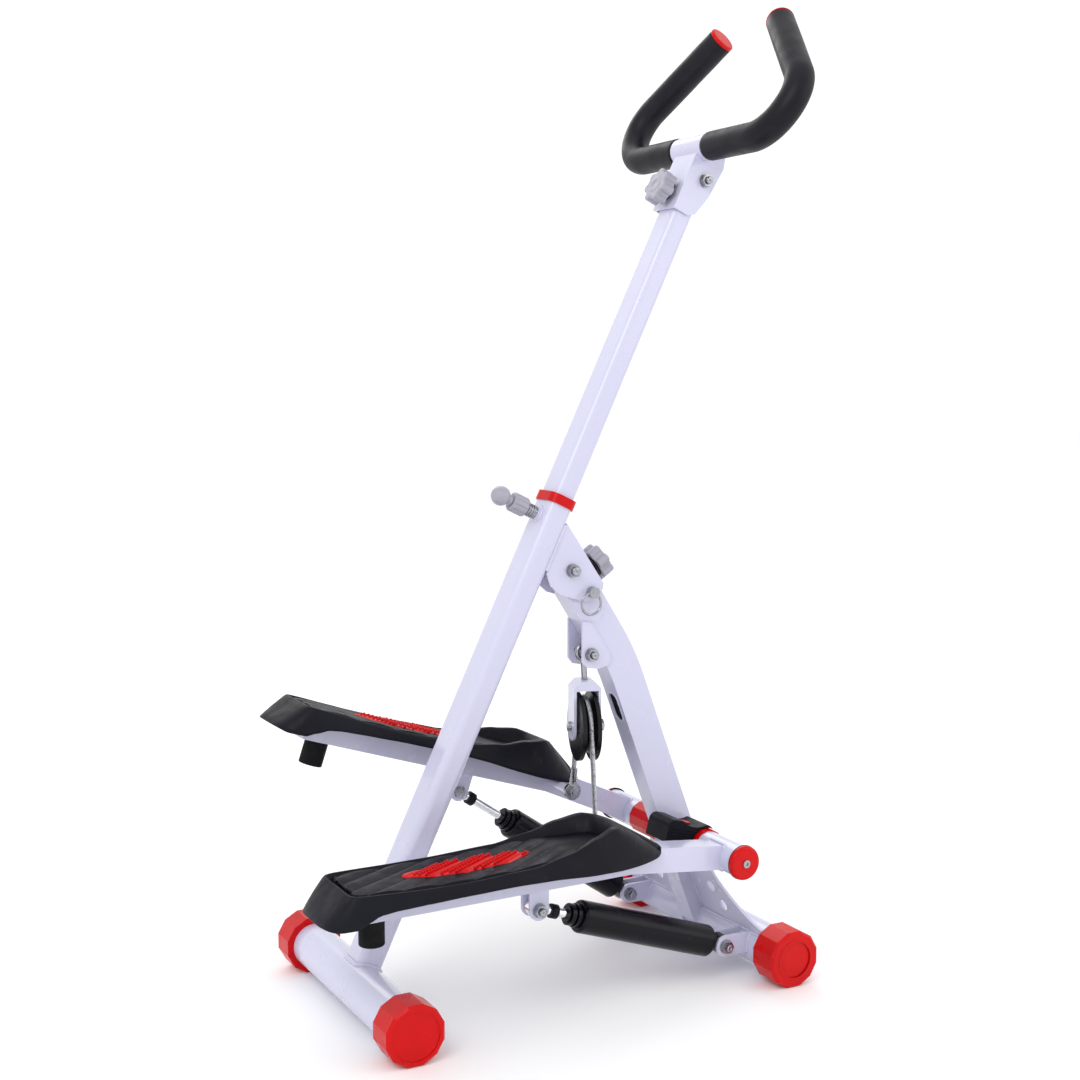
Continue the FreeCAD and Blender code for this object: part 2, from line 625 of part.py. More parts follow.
# ---- cylinders ---------------------------------------------------------------------
def cylinder_parts(eye):
    """Barrel and rod on the line from the foot clevis to the eye bolt."""
    foot = V(FOOT_EYE_X, -ARM_Y, FOOT_EYE_Z)
    length = (eye - foot).Length
    way = (eye - foot).normalize()

    def at(distance):
        return foot + way * distance
    barrel = rod(CYL_R, at(CYL_START), at(CYL_END))
    barrel = rounded(barrel, 3.5, lambda e: e.Curve.TypeId == "Part::GeomCircle")
    neck = rod(8.0, at(4), at(CYL_START + 4))
    foot_eye = across(11.0, foot.x, foot.z, foot.y - 7.5, foot.y + 7.5)
    steps = [(13.0, CYL_END - 1, GLAND_END - 9), (9.5, GLAND_END - 10, GLAND_END),
             (12.0, GLAND_END - 7, GLAND_END - 2)]
    gland = [rod(radius, at(start), at(stop)) for radius, start, stop in steps]
    barrel = barrel.fuse([neck, foot_eye] + gland).removeSplitter()
    barrel = barrel.cut(across(EYE_BOLT_R + 0.08, foot.x, foot.z, -200, 0))
    bore = rod(13.5, at(CYL_START + 6), at(CYL_END - 3))
    barrel = barrel.cut(bore).cut(rod(5.08, at(CYL_END - 5), at(GLAND_END + 1)))
    # The rod's end, collar and eye keep their distance from the eye bolt.
    shift = length - RIGHT_LENGTH
    shaft = rod(5.0, at(CYL_START + 60 + shift), at(COLLAR_END + 4 + shift))
    piston = rod(13.2, at(CYL_START + 52 + shift), at(CYL_START + 64 + shift))
    collar = rod(7.5, at(COLLAR_START + shift), at(COLLAR_END + shift))
    eye_ring = across(9.8, eye.x, eye.z, foot.y - 6.5, foot.y + 6.5)
    shaft = shaft.fuse([piston, collar, eye_ring]).removeSplitter()
    shaft = shaft.cut(across(EYE_HOLE_R, eye.x, eye.z, -200, 0))
    return barrel, shaft


EYE_HOLE_R = 6.2      # roomy, because this pivot closes the linkage
RIGHT_LENGTH = math.hypot(EYE_X - FOOT_EYE_X, EYE_Z - FOOT_EYE_Z)


# ---- mast ---------------------------------------------------------------------------
def mast_tube():
    """Lower tube, coped on the rear foot bar, with the boss for the pin."""
    outer = post(MAST_DEEP, MAST_WIDE, MAST_CORNER, 0, MAST_TOP)
    deep, wide = MAST_DEEP - 2 * MAST_WALL, MAST_WIDE - 2 * MAST_WALL
    inner = post(deep, wide, MAST_CORNER - MAST_WALL, -1, MAST_TOP + 1)
    boss = rod(8.5, V(-MAST_DEEP / 2 - 4, 0, PIN_S), V(-MAST_DEEP / 2 + 1.2, 0, PIN_S))
    tube = outer.cut(inner).fuse(boss)
    tube = tube.cut(rod(PIN_R + 0.08, V(-40, 0, PIN_S), V(-5, 0, PIN_S)))
    tube = tube.cut(rod(FOOT_TUBE_R, V(0, -40, 0), V(0, 40, 0)))
    return on_mast(tube.Solids[0] if len(tube.Solids) == 1 else max(tube.Solids, key=lambda s: s.Volume))


# Outline of a hinge ear in the mast's frame: (in front, along).
EAR = [(MAST_DEEP / 2, 551), (44, 534.2), (88, 508.6), (90, 503), (83, 484), (68.5, 479),
       (43, 475.5), (26, 480), (MAST_DEEP / 2, 491)]


def hinge_ears():
    """U bracket on the mast's front: two ears and a web between them."""
    inside = STRUT_WIDE / 2 + 0.4
    bracket = slab(EAR, -inside - 3, inside + 3)
    # Everything below the web is open, so the strut can swing out forward.
    slope = (EAR[2][1] - EAR[0][1]) / (EAR[2][0] - EAR[0][0])
    thick = 3.0 * math.hypot(1, slope)
    near, far = MAST_DEEP / 2 - 1, 110.0
    under = [(n, EAR[0][1] + slope * (n - EAR[0][0]) - thick) for n in (near, far)]
    bracket = bracket.cut(slab(under + [(far, 440), (near, 440)], -inside, inside))
    bracket = bracket.cut(rod(FOLD_BOLT_R, V(FOLD_N, -40, FOLD_S), V(FOLD_N, 40, FOLD_S)))
    bracket = bracket.cut(rod(LOCK_R + 0.08, V(LOCK_N, -40, LOCK_S), V(LOCK_N, 40, LOCK_S)))
    knob_at, knob_way = knob_line()
    bracket = bracket.cut(rod(5.08, knob_at - knob_way * 8, knob_at + knob_way * 2))
    return on_mast(max(bracket.Solids, key=lambda s: s.Volume))


def knob_line():
    """Foot and direction of the fold knob's screw, in the mast's frame."""
    drop = math.atan2(EAR[1][1] - EAR[2][1], EAR[2][0] - EAR[1][0])
    way = V(math.cos(drop), 0, -math.sin(drop))
    out = V(math.sin(drop), 0, math.cos(drop))
    return V(EAR[0][0], 0, EAR[0][1]) + way * 66.7, out


def star_knob(base, out, screw_in):
    """Seven-lobed knob standing off its plate, and the screw it turns."""
    head = rod(17.0, V(0, 0, 7), V(0, 0, 22))
    for k in range(7):
        turn = 2 * math.pi * k / 7
        spot = V(15.5 * math.cos(turn), 15.5 * math.sin(turn), 7)
        head = head.fuse(rod(5.3, spot, spot + V(0, 0, 15)))
    head = head.removeSplitter()
    head = rounded(head, 2.0, lambda e: e.BoundBox.ZMin > 21.9)
    head = head.fuse(rod(9.0, V(0, 0, 3.5), V(0, 0, 8))).removeSplitter()
    head = head.cut(rod(5.0, V(0, 0, 0), V(0, 0, 15)))
    screw = rod(5.0, V(0, 0, -screw_in), V(0, 0, 15))
    place = FreeCAD.Placement(base, FreeCAD.Rotation(Z, out))
    head.Placement = place
    screw.Placement = place
    return on_mast(head), on_mast(screw)


def mast_collar():
    """Red plastic ring in the mouth of the lower tube."""
    top = post(MAST_DEEP + 4, MAST_WIDE + 4, MAST_CORNER + 2, MAST_TOP - 4, MAST_TOP + 7)
    seat = post(MAST_DEEP, MAST_WIDE, MAST_CORNER, MAST_TOP - 5, MAST_TOP)
    bore = post(INNER_DEEP + 0.1, INNER_WIDE + 0.1, INNER_CORNER + 0.05, MAST_TOP - 5, MAST_TOP + 8)
    return on_mast(top.cut(seat).cut(bore))


def upper_tube():
    """Telescopic tube with its row of holes and rounded top."""
    outer = post(INNER_DEEP, INNER_WIDE, INNER_CORNER, INNER_BOTTOM, TILT_BOLT_S + 24)
    inner = post(INNER_DEEP - 2 * INNER_WALL, INNER_WIDE - 2 * INNER_WALL, INNER_CORNER - INNER_WALL,
                 INNER_BOTTOM - 1, TILT_BOLT_S + 30)
    tube = outer.cut(inner)
    for k in range(HOLE_COUNT):
        s = PIN_S - k * HOLE_PITCH
        tube = tube.cut(rod(PIN_R + 0.3, V(-20, 0, s), V(-5, 0, s)))
    keep = rod(20.6, V(TILT_BOLT_N, -30, TILT_BOLT_S), V(TILT_BOLT_N, 30, TILT_BOLT_S))
    keep = keep.fuse(box_between(-30, 30, -30, 30, 0, TILT_BOLT_S + 1))
    tube = tube.common(keep)
    tube = tube.cut(rod(EYE_BOLT_R, V(TILT_BOLT_N, -30, TILT_BOLT_S), V(TILT_BOLT_N, 30, TILT_BOLT_S)))
    return on_mast(max(tube.Solids, key=lambda s: s.Volume))


CHEEK_IN = INNER_WIDE / 2 + 0.5
SLEEVE_N, SLEEVE_S = -7.6, 1011.0


def head_bracket():
    """U plate round the mast's top with the clamp sleeve for the handlebar."""
    side = [(-17, 930), (4, 930), (12, 936), (20, 962), (24, 1000), (20, 1014), (-7, 1016), (-17, 1000)]
    shell = slab(side, -CHEEK_IN - 3, CHEEK_IN + 3)
    shell = shell.cut(slab([(-14, 900), (60, 900), (60, 1050), (-14, 1050)], -CHEEK_IN, CHEEK_IN))
    sleeve = rod(15.5, V(SLEEVE_N, -GRIP_START + 1, SLEEVE_S), V(SLEEVE_N, GRIP_START - 1, SLEEVE_S))
    head = shell.fuse(sleeve).removeSplitter()
    head = head.cut(rod(BAR_R, V(SLEEVE_N, -60, SLEEVE_S), V(SLEEVE_N, 60, SLEEVE_S)))
    ends = [V(TILT_BOLT_N, y, TILT_BOLT_S) for y in (-60, 60)]
    head = head.cut(rod(EYE_BOLT_R + 0.08, *ends))
    head = head.cut(rod(5.08, V(-30, 0, KNOB_S), V(-10, 0, KNOB_S)))
    return on_mast(max(head.Solids, key=lambda s: s.Volume))


KNOB_S = 949.5


# ---- handlebar -----------------------------------------------------------------------
BAR = mast_point(SLEEVE_N, SLEEVE_S)
BAR_CORNERS = [(142.0, 0.0), (165.0, 56.0)]      # (sideways, up the bar's plane)
BAR_BENDS = [48.0, 40.0]
BAR_END = (59.0, 158.0)


def bar_point(side, out):
    tilt = math.radians(BAR_TILT)
    return BAR + V(out * math.cos(tilt), side, out * math.sin(tilt))


def bent_line(corners, bends):
    """Straight runs between the corners, joined by arcs of the given radii."""
    edges = []
    start = corners[0]
    for k, radius in enumerate(bends):
        corner = corners[k + 1]
        back = (corners[k] - corner).normalize()
        on = (corners[k + 2] - corner).normalize()
        half = back.getAngle(on) / 2
        a = corner + back * (radius / math.tan(half))
        b = corner + on * (radius / math.tan(half))
        inside = (back + on).normalize()
        middle = corner + inside * (radius / math.sin(half) - radius)
        edges.append(Part.makeLine(start, a))
        edges.append(Part.Arc(a, middle, b).toShape())
        start = b
    edges.append(Part.makeLine(start, corners[-1]))
    return edges


def swept(edges, radius):
    path = Part.Wire(edges)
    start = path.Edges[0].valueAt(path.Edges[0].FirstParameter)
    way = path.Edges[0].tangentAt(path.Edges[0].FirstParameter)
    section = Part.Wire([Part.Circle(start, way, radius).toShape()])
    return path.makePipeShell([section], True, True)


def bent_tube(edges, outer, inner):
    """Tube along a bent line, made run by run."""
    runs = [swept([edge], outer).cut(swept([edge], inner)) for edge in edges]
    return runs[0].fuse(runs[1:]).removeSplitter()


def handlebar_tube():
    """The steel bar, bent both ways from the middle."""
    places = BAR_CORNERS + [BAR_END]
    corners = [bar_point(-side, out) for side, out in reversed(places)]
    corners += [bar_point(*place) for place in places]
    return bent_tube(bent_line(corners, BAR_BENDS[::-1] + BAR_BENDS), BAR_R, BAR_BORE)


def grip_and_cap():
    """Left foam grip and the cap on its end."""
    corners = [bar_point(*place) for place in [(GRIP_START, 0)] + BAR_CORNERS + [BAR_END]]
    edges = bent_line(corners, BAR_BENDS)
    grip = swept(edges, GRIP_R).cut(swept(edges, BAR_R))
    tip = bar_point(*BAR_END)
    way = (tip - bar_point(*BAR_CORNERS[1])).normalize()
    cap = rod(GRIP_R, tip, tip + way * 4.0)
    cap = rounded(cap, 2.5, lambda e: (e.CenterOfMass - tip).dot(way) > 3.9)
    plug = rod(BAR_BORE, tip - way * 15, tip + way * 0.5)
    return grip, cap.fuse(plug).removeSplitter()


# ---- write every part -------------------------------------------------------------------
def write_front_frame():
    write("front_foot_tube", foot_tube(BASE_LENGTH, FRONT_HALF))
    caps = [foot_cap(BASE_LENGTH, FRONT_HALF, side, 21.0, 1.5) for side in (1, -1)]
    write("front_foot_caps", *caps)
    write("strut_tube", strut_tube())
    wing = gusset_wing()
    write("gusset_plates", wing, mirrored(wing))
    tube = across(PIVOT_TUBE_R, PIVOT_X, PIVOT_Z, -SPACER_END, SPACER_END)
    write("pivot_tube", tube.cut(across(AXLE_R, PIVOT_X, PIVOT_Z, -100, 100)))
    spacer = pivot_spacer()
    write("pivot_spacers", spacer, mirrored(spacer))
    reach = SLEEVE_END + 2.5
    bolts = [cap_bolt(), mirrored(cap_bolt())]
    write("pivot_axle", across(AXLE_R, PIVOT_X, PIVOT_Z, -reach, reach), *bolts)
    write("pivot_end_caps", end_cap(), mirrored(end_cap()))
    plate = hanger_plate()
    ears = [clevis_plate(side * ARM_Y + off) for side in (-1, 1) for off in (-9.5, 9.5)]
    write("welded_brackets", plate, mirrored(plate), *ears)
    half = STRUT_WIDE / 2 + 3
    frame_bolts = [bolt_set(HANG_X, HANG_Z, -half, half, EYE_BOLT_R).mirror(V(0, 0, 0), Y)]
    for side in (-1, 1):
        bolt = bolt_set(FOOT_EYE_X, FOOT_EYE_Z, side * ARM_Y - 11, side * ARM_Y + 11, EYE_BOLT_R)
        frame_bolts.append(bolt.mirror(V(0, side * ARM_Y, 0), Y))
    write("frame_bolts", *frame_bolts)
    write("pulley_eye_bolt", eye_bolt())
    write("pulley_block", pulley_block())
    write("pulley_axle", pulley_axle())
    write("cable_over_pulley", cable_wrap())
    write("right_cable_leg", cable_leg(RIGHT_END))
    write("left_cable_leg", cable_leg(LEFT_END))
    write("computer_case", computer_case())
    write("computer_button", computer_button())
    write("pulley_wheel", pulley_wheel())


def write_pedals():
    pieces = {"pedal_tray": [on_right(pedal_tray())], "pedal_insert": [on_right(pedal_insert())],
              "pedal_arm": pedal_arm(), "sleeve_bushes": sleeve_bushes(),
              "cylinder_bracket": cylinder_bracket(), "heel_bumper": [heel_bumper()],
              "pedal_bolts": pedal_bolts()}
    axis = V(PIVOT_X, 0, PIVOT_Z)
    for name, shapes in pieces.items():
        write("right_" + name, *shapes)
        raised = [mirrored(s) for s in shapes]
        for shape in raised:
            shape.rotate(axis, Y, LEFT_LIFT)
        write("left_" + name, *raised)
    write("right_cable_end", cable_end(RIGHT_END))
    write("left_cable_end", cable_end(LEFT_END))


def write_cylinders():
    right_eye = V(EYE_X, -ARM_Y, EYE_Z)
    barrel, shaft = cylinder_parts(right_eye)
    write("right_cylinder_barrel", barrel)
    write("right_cylinder_rod", shaft)
    left_eye = lifted(right_eye)
    left_eye.y = -ARM_Y
    barrel, shaft = cylinder_parts(left_eye)
    write("left_cylinder_barrel", mirrored(barrel))
    write("left_cylinder_rod", mirrored(shaft))


def write_mast():
    write("rear_foot_tube", foot_tube(0, REAR_HALF))
    caps = [foot_cap(0, REAR_HALF, side, 26.0, 1.0) for side in (1, -1)]
    write("rear_foot_caps", *caps)
    write("mast_tube", mast_tube())
    write("hinge_ears", hinge_ears())
    write("mast_collar", mast_collar())
    outside = STRUT_WIDE / 2 + 3.4
    fold_bolt = bolt_set(FOLD.x, FOLD.z, -outside, outside, FOLD_BOLT_R)
    write("fold_bolt", fold_bolt.mirror(V(0, 0, 0), Y))
    write("upper_tube", upper_tube())
    cheek = CHEEK_IN + 3
    tilt = mast_point(TILT_BOLT_N, TILT_BOLT_S)
    tilt_bolt = bolt_set(tilt.x, tilt.z, -cheek - 0.3, cheek + 0.3, EYE_BOLT_R)
    write("tilt_bolt", tilt_bolt.mirror(V(0, 0, 0), Y))


def write_controls():
    """Height pin, ring pin and the two star knobs."""
    nipple = rod(7.0, V(-32, 0, PIN_S), V(-MAST_DEEP / 2 - 4, 0, PIN_S))
    write("pin_nipple", on_mast(nipple.cut(rod(PIN_R + 0.08, V(-60, 0, PIN_S), V(0, 0, PIN_S)))))
    barrel = rod(11.0, V(-52, 0, PIN_S), V(-32.3, 0, PIN_S))
    barrel = rounded(barrel, 1.5, lambda e: e.Curve.TypeId == "Part::GeomCircle")
    write("pin_barrel", on_mast(barrel.cut(rod(PIN_R + 0.08, V(-60, 0, PIN_S), V(0, 0, PIN_S)))))
    write("height_pin", on_mast(rod(PIN_R, V(-66, 0, PIN_S), V(-10.5, 0, PIN_S))))
    ball = Part.makeSphere(11.0, V(-66, 0, PIN_S))
    ball = ball.fuse(rod(6.0, V(-58, 0, PIN_S), V(-52.6, 0, PIN_S))).removeSplitter()
    write("pin_ball", on_mast(ball.cut(rod(PIN_R, V(-66, 0, PIN_S), V(0, 0, PIN_S)))))
    outside = STRUT_WIDE / 2 + 3.4
    pin = across(LOCK_R, LOCK.x, LOCK.z, -outside - 9, outside + 6)
    head = across(6.5, LOCK.x, LOCK.z, -outside - 9, -outside - 0.6)
    pin = pin.fuse(head).removeSplitter()
    loop = Part.makeTorus(12.5, 1.4, V(LOCK.x - 4, -outside - 7, LOCK.z - 12.5), Y)
    write("ring_pin", pin.cut(loop.copy()), loop)
    at, out = knob_line()
    head, screw = star_knob(at, out, 3.6)
    write("fold_knob", head)
    write("fold_knob_screw", screw)
    head, screw = star_knob(V(-17, 0, KNOB_S), V(-1, 0, 0), 3.6)
    write("tilt_knob", head)
    write("tilt_knob_screw", screw)


def write_head():
    write("head_bracket", head_bracket())
    grip, cap = grip_and_cap()
    write("handlebar_tube", handlebar_tube())
    write("foam_grips", grip, mirrored(grip))
    write("handlebar_end_caps", cap, mirrored(cap))


write_front_frame()
write_pedals()
write_cylinders()
write_mast()
write_controls()
write_head()
print(len(written), "parts")
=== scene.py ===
"""Looks for the folding stepper: materials, pedals, cable, grips, welds and studio.

Lengths in the tables below are millimetres in the machine's own layout: x from the
rear foot bar forward, y to the user's left, z up from the floor.  at() turns them
into Blender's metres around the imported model.
"""
import json
import math

import bmesh
import bpy
from mathutils import Matrix, Vector, noise


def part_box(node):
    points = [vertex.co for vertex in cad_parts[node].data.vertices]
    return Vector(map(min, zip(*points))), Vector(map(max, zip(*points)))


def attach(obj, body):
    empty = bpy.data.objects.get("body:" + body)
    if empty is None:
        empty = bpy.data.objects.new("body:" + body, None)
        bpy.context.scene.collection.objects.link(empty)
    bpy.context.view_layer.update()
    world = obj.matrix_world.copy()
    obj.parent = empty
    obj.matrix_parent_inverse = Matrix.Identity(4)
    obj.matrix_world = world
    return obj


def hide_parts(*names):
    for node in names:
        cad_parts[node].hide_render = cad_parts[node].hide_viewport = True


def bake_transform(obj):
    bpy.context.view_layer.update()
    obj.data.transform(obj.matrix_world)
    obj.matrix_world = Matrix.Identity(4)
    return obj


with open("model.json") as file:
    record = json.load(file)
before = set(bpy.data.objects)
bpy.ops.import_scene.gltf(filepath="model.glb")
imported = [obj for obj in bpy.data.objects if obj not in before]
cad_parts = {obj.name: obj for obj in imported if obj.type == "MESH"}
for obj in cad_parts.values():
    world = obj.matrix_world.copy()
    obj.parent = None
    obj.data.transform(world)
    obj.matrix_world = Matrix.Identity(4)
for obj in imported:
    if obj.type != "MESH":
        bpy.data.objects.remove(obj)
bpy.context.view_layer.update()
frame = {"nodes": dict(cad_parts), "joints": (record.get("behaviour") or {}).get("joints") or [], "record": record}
JOINTS = {joint["name"]: joint for joint in frame["joints"]}
NODES = frame["nodes"]
MM = 0.001


def middle(node):
    low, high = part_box(node)
    return (Vector(low) + Vector(high)) / 2


ZERO = Vector((middle("rear_foot_tube").x, 0.0, 0.0))
PIVOT = Vector(JOINTS["right_pedal_hinge"]["pos_m"])
HUB = Vector(JOINTS["pulley_turn"]["pos_m"])
MAST_UP = Vector(JOINTS["mast_height"]["axis"]).normalized()
MAST_FRONT = Vector((MAST_UP.z, 0.0, -MAST_UP.x))
MAST_FOOT = middle("rear_foot_tube")
LEFT_LIFT = math.radians(18.5)
SIDES = (("right", -1), ("left", 1))

# Places in the layout, in millimetres.
ARM_Y = 105.0                      # middle of each pedal's arm, from the machine's middle
AXLE_X, AXLE_Z = 411.0, 143.0
FRONT_X, FOOT_Z = 460.0, 32.0      # front foot bar
STRUT_X, STRUT_LEAN = 452.0, math.radians(20.7)
CLEVIS_X, CLEVIS_Z = 406.0, 38.5   # bolt at the foot of each cylinder
EYE_X, EYE_Z = 165.0, 120.0        # bolt of each rod's eye, under its pedal
HANGER_X, HANGER_Z = 284.0, 371.0  # bolt that the pulley's eye hangs from
BOLT_END = 18.5                    # tip of a clevis bolt from the arm's middle
PIN_S = 548.6                      # height pin, along the mast


def at(x, y, z):
    """A layout point, in the model's frame."""
    return ZERO + Vector((x, y, z)) * MM


def on_mast(n, s, y=0.0):
    """A point in front of the mast's middle line and along it from the foot bar."""
    return MAST_FOOT + MAST_FRONT * (n * MM) + MAST_UP * (s * MM) + Vector((0, y * MM, 0))


def on_pedal(side, x, y, z):
    """A point of the level right pedal (y is outward) carried to either pedal."""
    point = at(x, -ARM_Y - y, z)
    if side == "right":
        return point
    away = point - PIVOT
    turned = Matrix.Rotation(LEFT_LIFT, 3, "Y") @ away
    return Vector((PIVOT.x + turned.x, PIVOT.y - away.y, PIVOT.z + turned.z))


# ---- materials -----------------------------------------------------------------
class Surface:
    """A Principled material built up in layers of procedural detail."""

    def __init__(self, name, colour, rough, **sockets):
        self.mat = bpy.data.materials.new(name)
        self.mat.use_nodes = True
        self.tree = self.mat.node_tree
        self.shader = self.tree.nodes["Principled BSDF"]
        self.shader.inputs["Base Color"].default_value = (*colour, 1.0)
        self.shader.inputs["Roughness"].default_value = rough
        for socket, value in sockets.items():
            self.shader.inputs[socket.replace("_", " ")].default_value = value
        self.colour = colour
        self.place = self.new("ShaderNodeTexCoord").outputs["Object"]
        self.last_colour = None
        self.last_rough = None
        self.last_normal = None

    def new(self, kind, **settings):
        node = self.tree.nodes.new(kind)
        for key, value in settings.items():
            setattr(node, key, value)
        return node

    def link(self, out, into):
        self.tree.links.new(out, into)

    def stretched(self, stretch):
        mapping = self.new("ShaderNodeMapping")
        mapping.inputs["Scale"].default_value = stretch
        self.link(self.place, mapping.inputs["Vector"])
        return mapping.outputs["Vector"]

    def noise(self, scale, detail=4.0, stretch=(1, 1, 1), distortion=0.0):
        node = self.new("ShaderNodeTexNoise")
        node.inputs["Scale"].default_value = scale
        node.inputs["Detail"].default_value = detail
        node.inputs["Distortion"].default_value = distortion
        self.link(self.stretched(stretch), node.inputs["Vector"])
        return node.outputs["Fac"]

    def cells(self, scale, feature="F1", stretch=(1, 1, 1)):
        node = self.new("ShaderNodeTexVoronoi", feature=feature)
        node.inputs["Scale"].default_value = scale
        self.link(self.stretched(stretch), node.inputs["Vector"])
        return node.outputs["Distance"]

    def ramp(self, factor, low, high):
        """Stretch a factor so that low becomes 0 and high becomes 1."""
        node = self.new("ShaderNodeMapRange")
        node.inputs["From Min"].default_value = low
        node.inputs["From Max"].default_value = high
        self.link(factor, node.inputs["Value"])
        return node.outputs["Result"]

    def tint(self, factor, colour, low=0.4, high=0.6):
        """Blend towards another colour where the factor is high."""
        mix = self.new("ShaderNodeMix", data_type="RGBA")
        self.link(self.ramp(factor, low, high), mix.inputs["Factor"])
        first, second = (s for s in mix.inputs if s.type == "RGBA")
        if self.last_colour is None:
            first.default_value = (*self.colour, 1.0)
        else:
            self.link(self.last_colour, first)
        second.default_value = (*colour, 1.0)
        self.last_colour = next(s for s in mix.outputs if s.type == "RGBA")
        self.link(self.last_colour, self.shader.inputs["Base Color"])
        return self

    def polish(self, factor, low, high):
        """Roughness from low to high with the factor."""
        node = self.new("ShaderNodeMapRange")
        node.inputs["From Min"].default_value = 0.3
        node.inputs["From Max"].default_value = 0.7
        node.inputs["To Min"].default_value = low
        node.inputs["To Max"].default_value = high
        self.link(factor, node.inputs["Value"])
        self.link(node.outputs["Result"], self.shader.inputs["Roughness"])
        return self

    def bump(self, factor, depth_mm, strength=1.0):
        """Relief of the given depth, laid over any earlier relief."""
        node = self.new("ShaderNodeBump")
        node.inputs["Strength"].default_value = strength
        node.inputs["Distance"].default_value = depth_mm * MM
        self.link(factor, node.inputs["Height"])
        if self.last_normal is not None:
            self.link(self.last_normal, node.inputs["Normal"])
        self.last_normal = node.outputs["Normal"]
        self.link(self.last_normal, self.shader.inputs["Normal"])
        return self


def white_enamel():
    """Glossy powder coat, faintly lilac, with orange peel and a little dust."""
    s = Surface("white_enamel", (0.56, 0.56, 0.72), 0.24, Coat_Weight=0.4, Coat_Roughness=0.08)
    s.tint(s.noise(5.0, 2.0), (0.54, 0.54, 0.70), 0.30, 0.75)
    s.tint(s.noise(1500.0, 2.0), (0.50, 0.50, 0.63), 0.68, 0.84)
    s.tint(s.noise(70.0, 10.0, distortion=0.6), (0.48, 0.47, 0.55), 0.72, 0.98)
    s.polish(s.noise(24.0, 3.0), 0.20, 0.30)
    s.bump(s.noise(420.0, 2.0), 0.03, 0.35)
    return s.bump(s.noise(1600.0, 1.0), 0.010, 0.3).mat


def red_plastic():
    """Injection-moulded red plastic, softly glossy with handling marks."""
    s = Surface("red_plastic", (0.56, 0.001, 0.002), 0.30, Coat_Weight=0.05, Coat_Roughness=0.10,
                Specular_IOR_Level=0.16)
    s.tint(s.noise(22.0, 5.0), (0.48, 0.001, 0.002), 0.40, 0.75)
    s.tint(s.noise(260.0, 6.0, stretch=(1, 0.15, 1)), (0.70, 0.04, 0.035), 0.70, 0.86)
    s.polish(s.noise(60.0, 7.0), 0.24, 0.42)
    s.bump(s.cells(1500.0), 0.02, 0.35)
    return s.bump(s.noise(120.0, 2.0), 0.04, 0.3).mat


def tray_plastic():
    """Blue-black moulded plastic with a fine leather grain and dusty scuffs."""
    s = Surface("tray_plastic", (0.0042, 0.0042, 0.0085), 0.42, Specular_IOR_Level=0.14)
    s.tint(s.noise(14.0, 6.0), (0.0075, 0.0074, 0.0145), 0.45, 0.72)
    s.tint(s.noise(75.0, 12.0, distortion=0.8), (0.030, 0.029, 0.044), 0.66, 0.92)
    s.tint(s.noise(520.0, 8.0, stretch=(0.2, 1, 1)), (0.045, 0.045, 0.052), 0.72, 0.88)
    s.polish(s.noise(80.0, 8.0), 0.36, 0.54)
    s.bump(s.cells(950.0, "SMOOTH_F1"), 0.04, 0.5)
    return s.bump(s.noise(2400.0, 3.0), 0.010, 0.4).mat


def black_enamel():
    """Deep gloss black of the cylinders, with light dust."""
    s = Surface("black_enamel", (0.0018, 0.0016, 0.0042), 0.24, Coat_Weight=0.06, Coat_Roughness=0.08,
                Specular_IOR_Level=0.16)
    s.tint(s.noise(90.0, 9.0), (0.022, 0.022, 0.026), 0.66, 0.94)
    s.polish(s.noise(30.0, 6.0), 0.18, 0.32)
    return s.bump(s.noise(260.0, 2.0), 0.03, 0.3).mat


def rubber():
    """Matte black rubber with a chalky bloom."""
    s = Surface("black_rubber", (0.005, 0.005, 0.006), 0.62, Specular_IOR_Level=0.14)
    s.tint(s.noise(35.0, 8.0), (0.020, 0.020, 0.020), 0.52, 0.90)
    s.polish(s.noise(110.0, 5.0), 0.60, 0.84)
    return s.bump(s.noise(1100.0, 4.0), 0.06, 0.6).mat


def foam():
    """Closed-cell foam: fine cells under a skin, rubbed lighter by hands."""
    s = Surface("foam_grip", (0.0050, 0.0046, 0.0090), 0.42, Specular_IOR_Level=0.20)
    s.tint(s.noise(18.0, 6.0), (0.011, 0.0105, 0.017), 0.42, 0.70)
    s.tint(s.cells(1700.0), (0.003, 0.003, 0.004), 0.52, 0.78)
    s.polish(s.noise(45.0, 5.0), 0.36, 0.52)
    s.bump(s.cells(1700.0), 0.04, 0.45)
    return s.bump(s.noise(300.0, 3.0), 0.03, 0.3).mat


def zinc():
    """Zinc plate: cool, slightly yellow in places, with machining marks; its base colour is kept low as a painted
    dark reflection.
    """
    # Low base colour: painted reflection of dark surroundings that the even white studio does not give.
    s = Surface("zinc_plate", (0.36, 0.37, 0.41), 0.18, Metallic=1.0)
    s.tint(s.noise(60.0, 5.0), (0.42, 0.40, 0.36), 0.45, 0.80)
    s.tint(s.noise(300.0, 8.0), (0.13, 0.13, 0.15), 0.58, 0.82)
    s.polish(s.noise(500.0, 6.0, stretch=(1, 0.08, 1)), 0.12, 0.34)
    return s.bump(s.noise(900.0, 3.0, stretch=(1, 0.1, 1)), 0.02, 0.4).mat


def chrome():
    """Hard chrome of the cylinder rods, with faint lengthwise draw lines."""
    s = Surface("hard_chrome", (0.82, 0.83, 0.85), 0.08, Metallic=1.0)
    s.tint(s.noise(80.0, 6.0), (0.70, 0.71, 0.74), 0.5, 0.8)
    s.polish(s.noise(200.0, 6.0, stretch=(0.1, 1, 1)), 0.05, 0.18)
    return s.bump(s.noise(1200.0, 2.0, stretch=(0.05, 1, 1)), 0.006, 0.4).mat


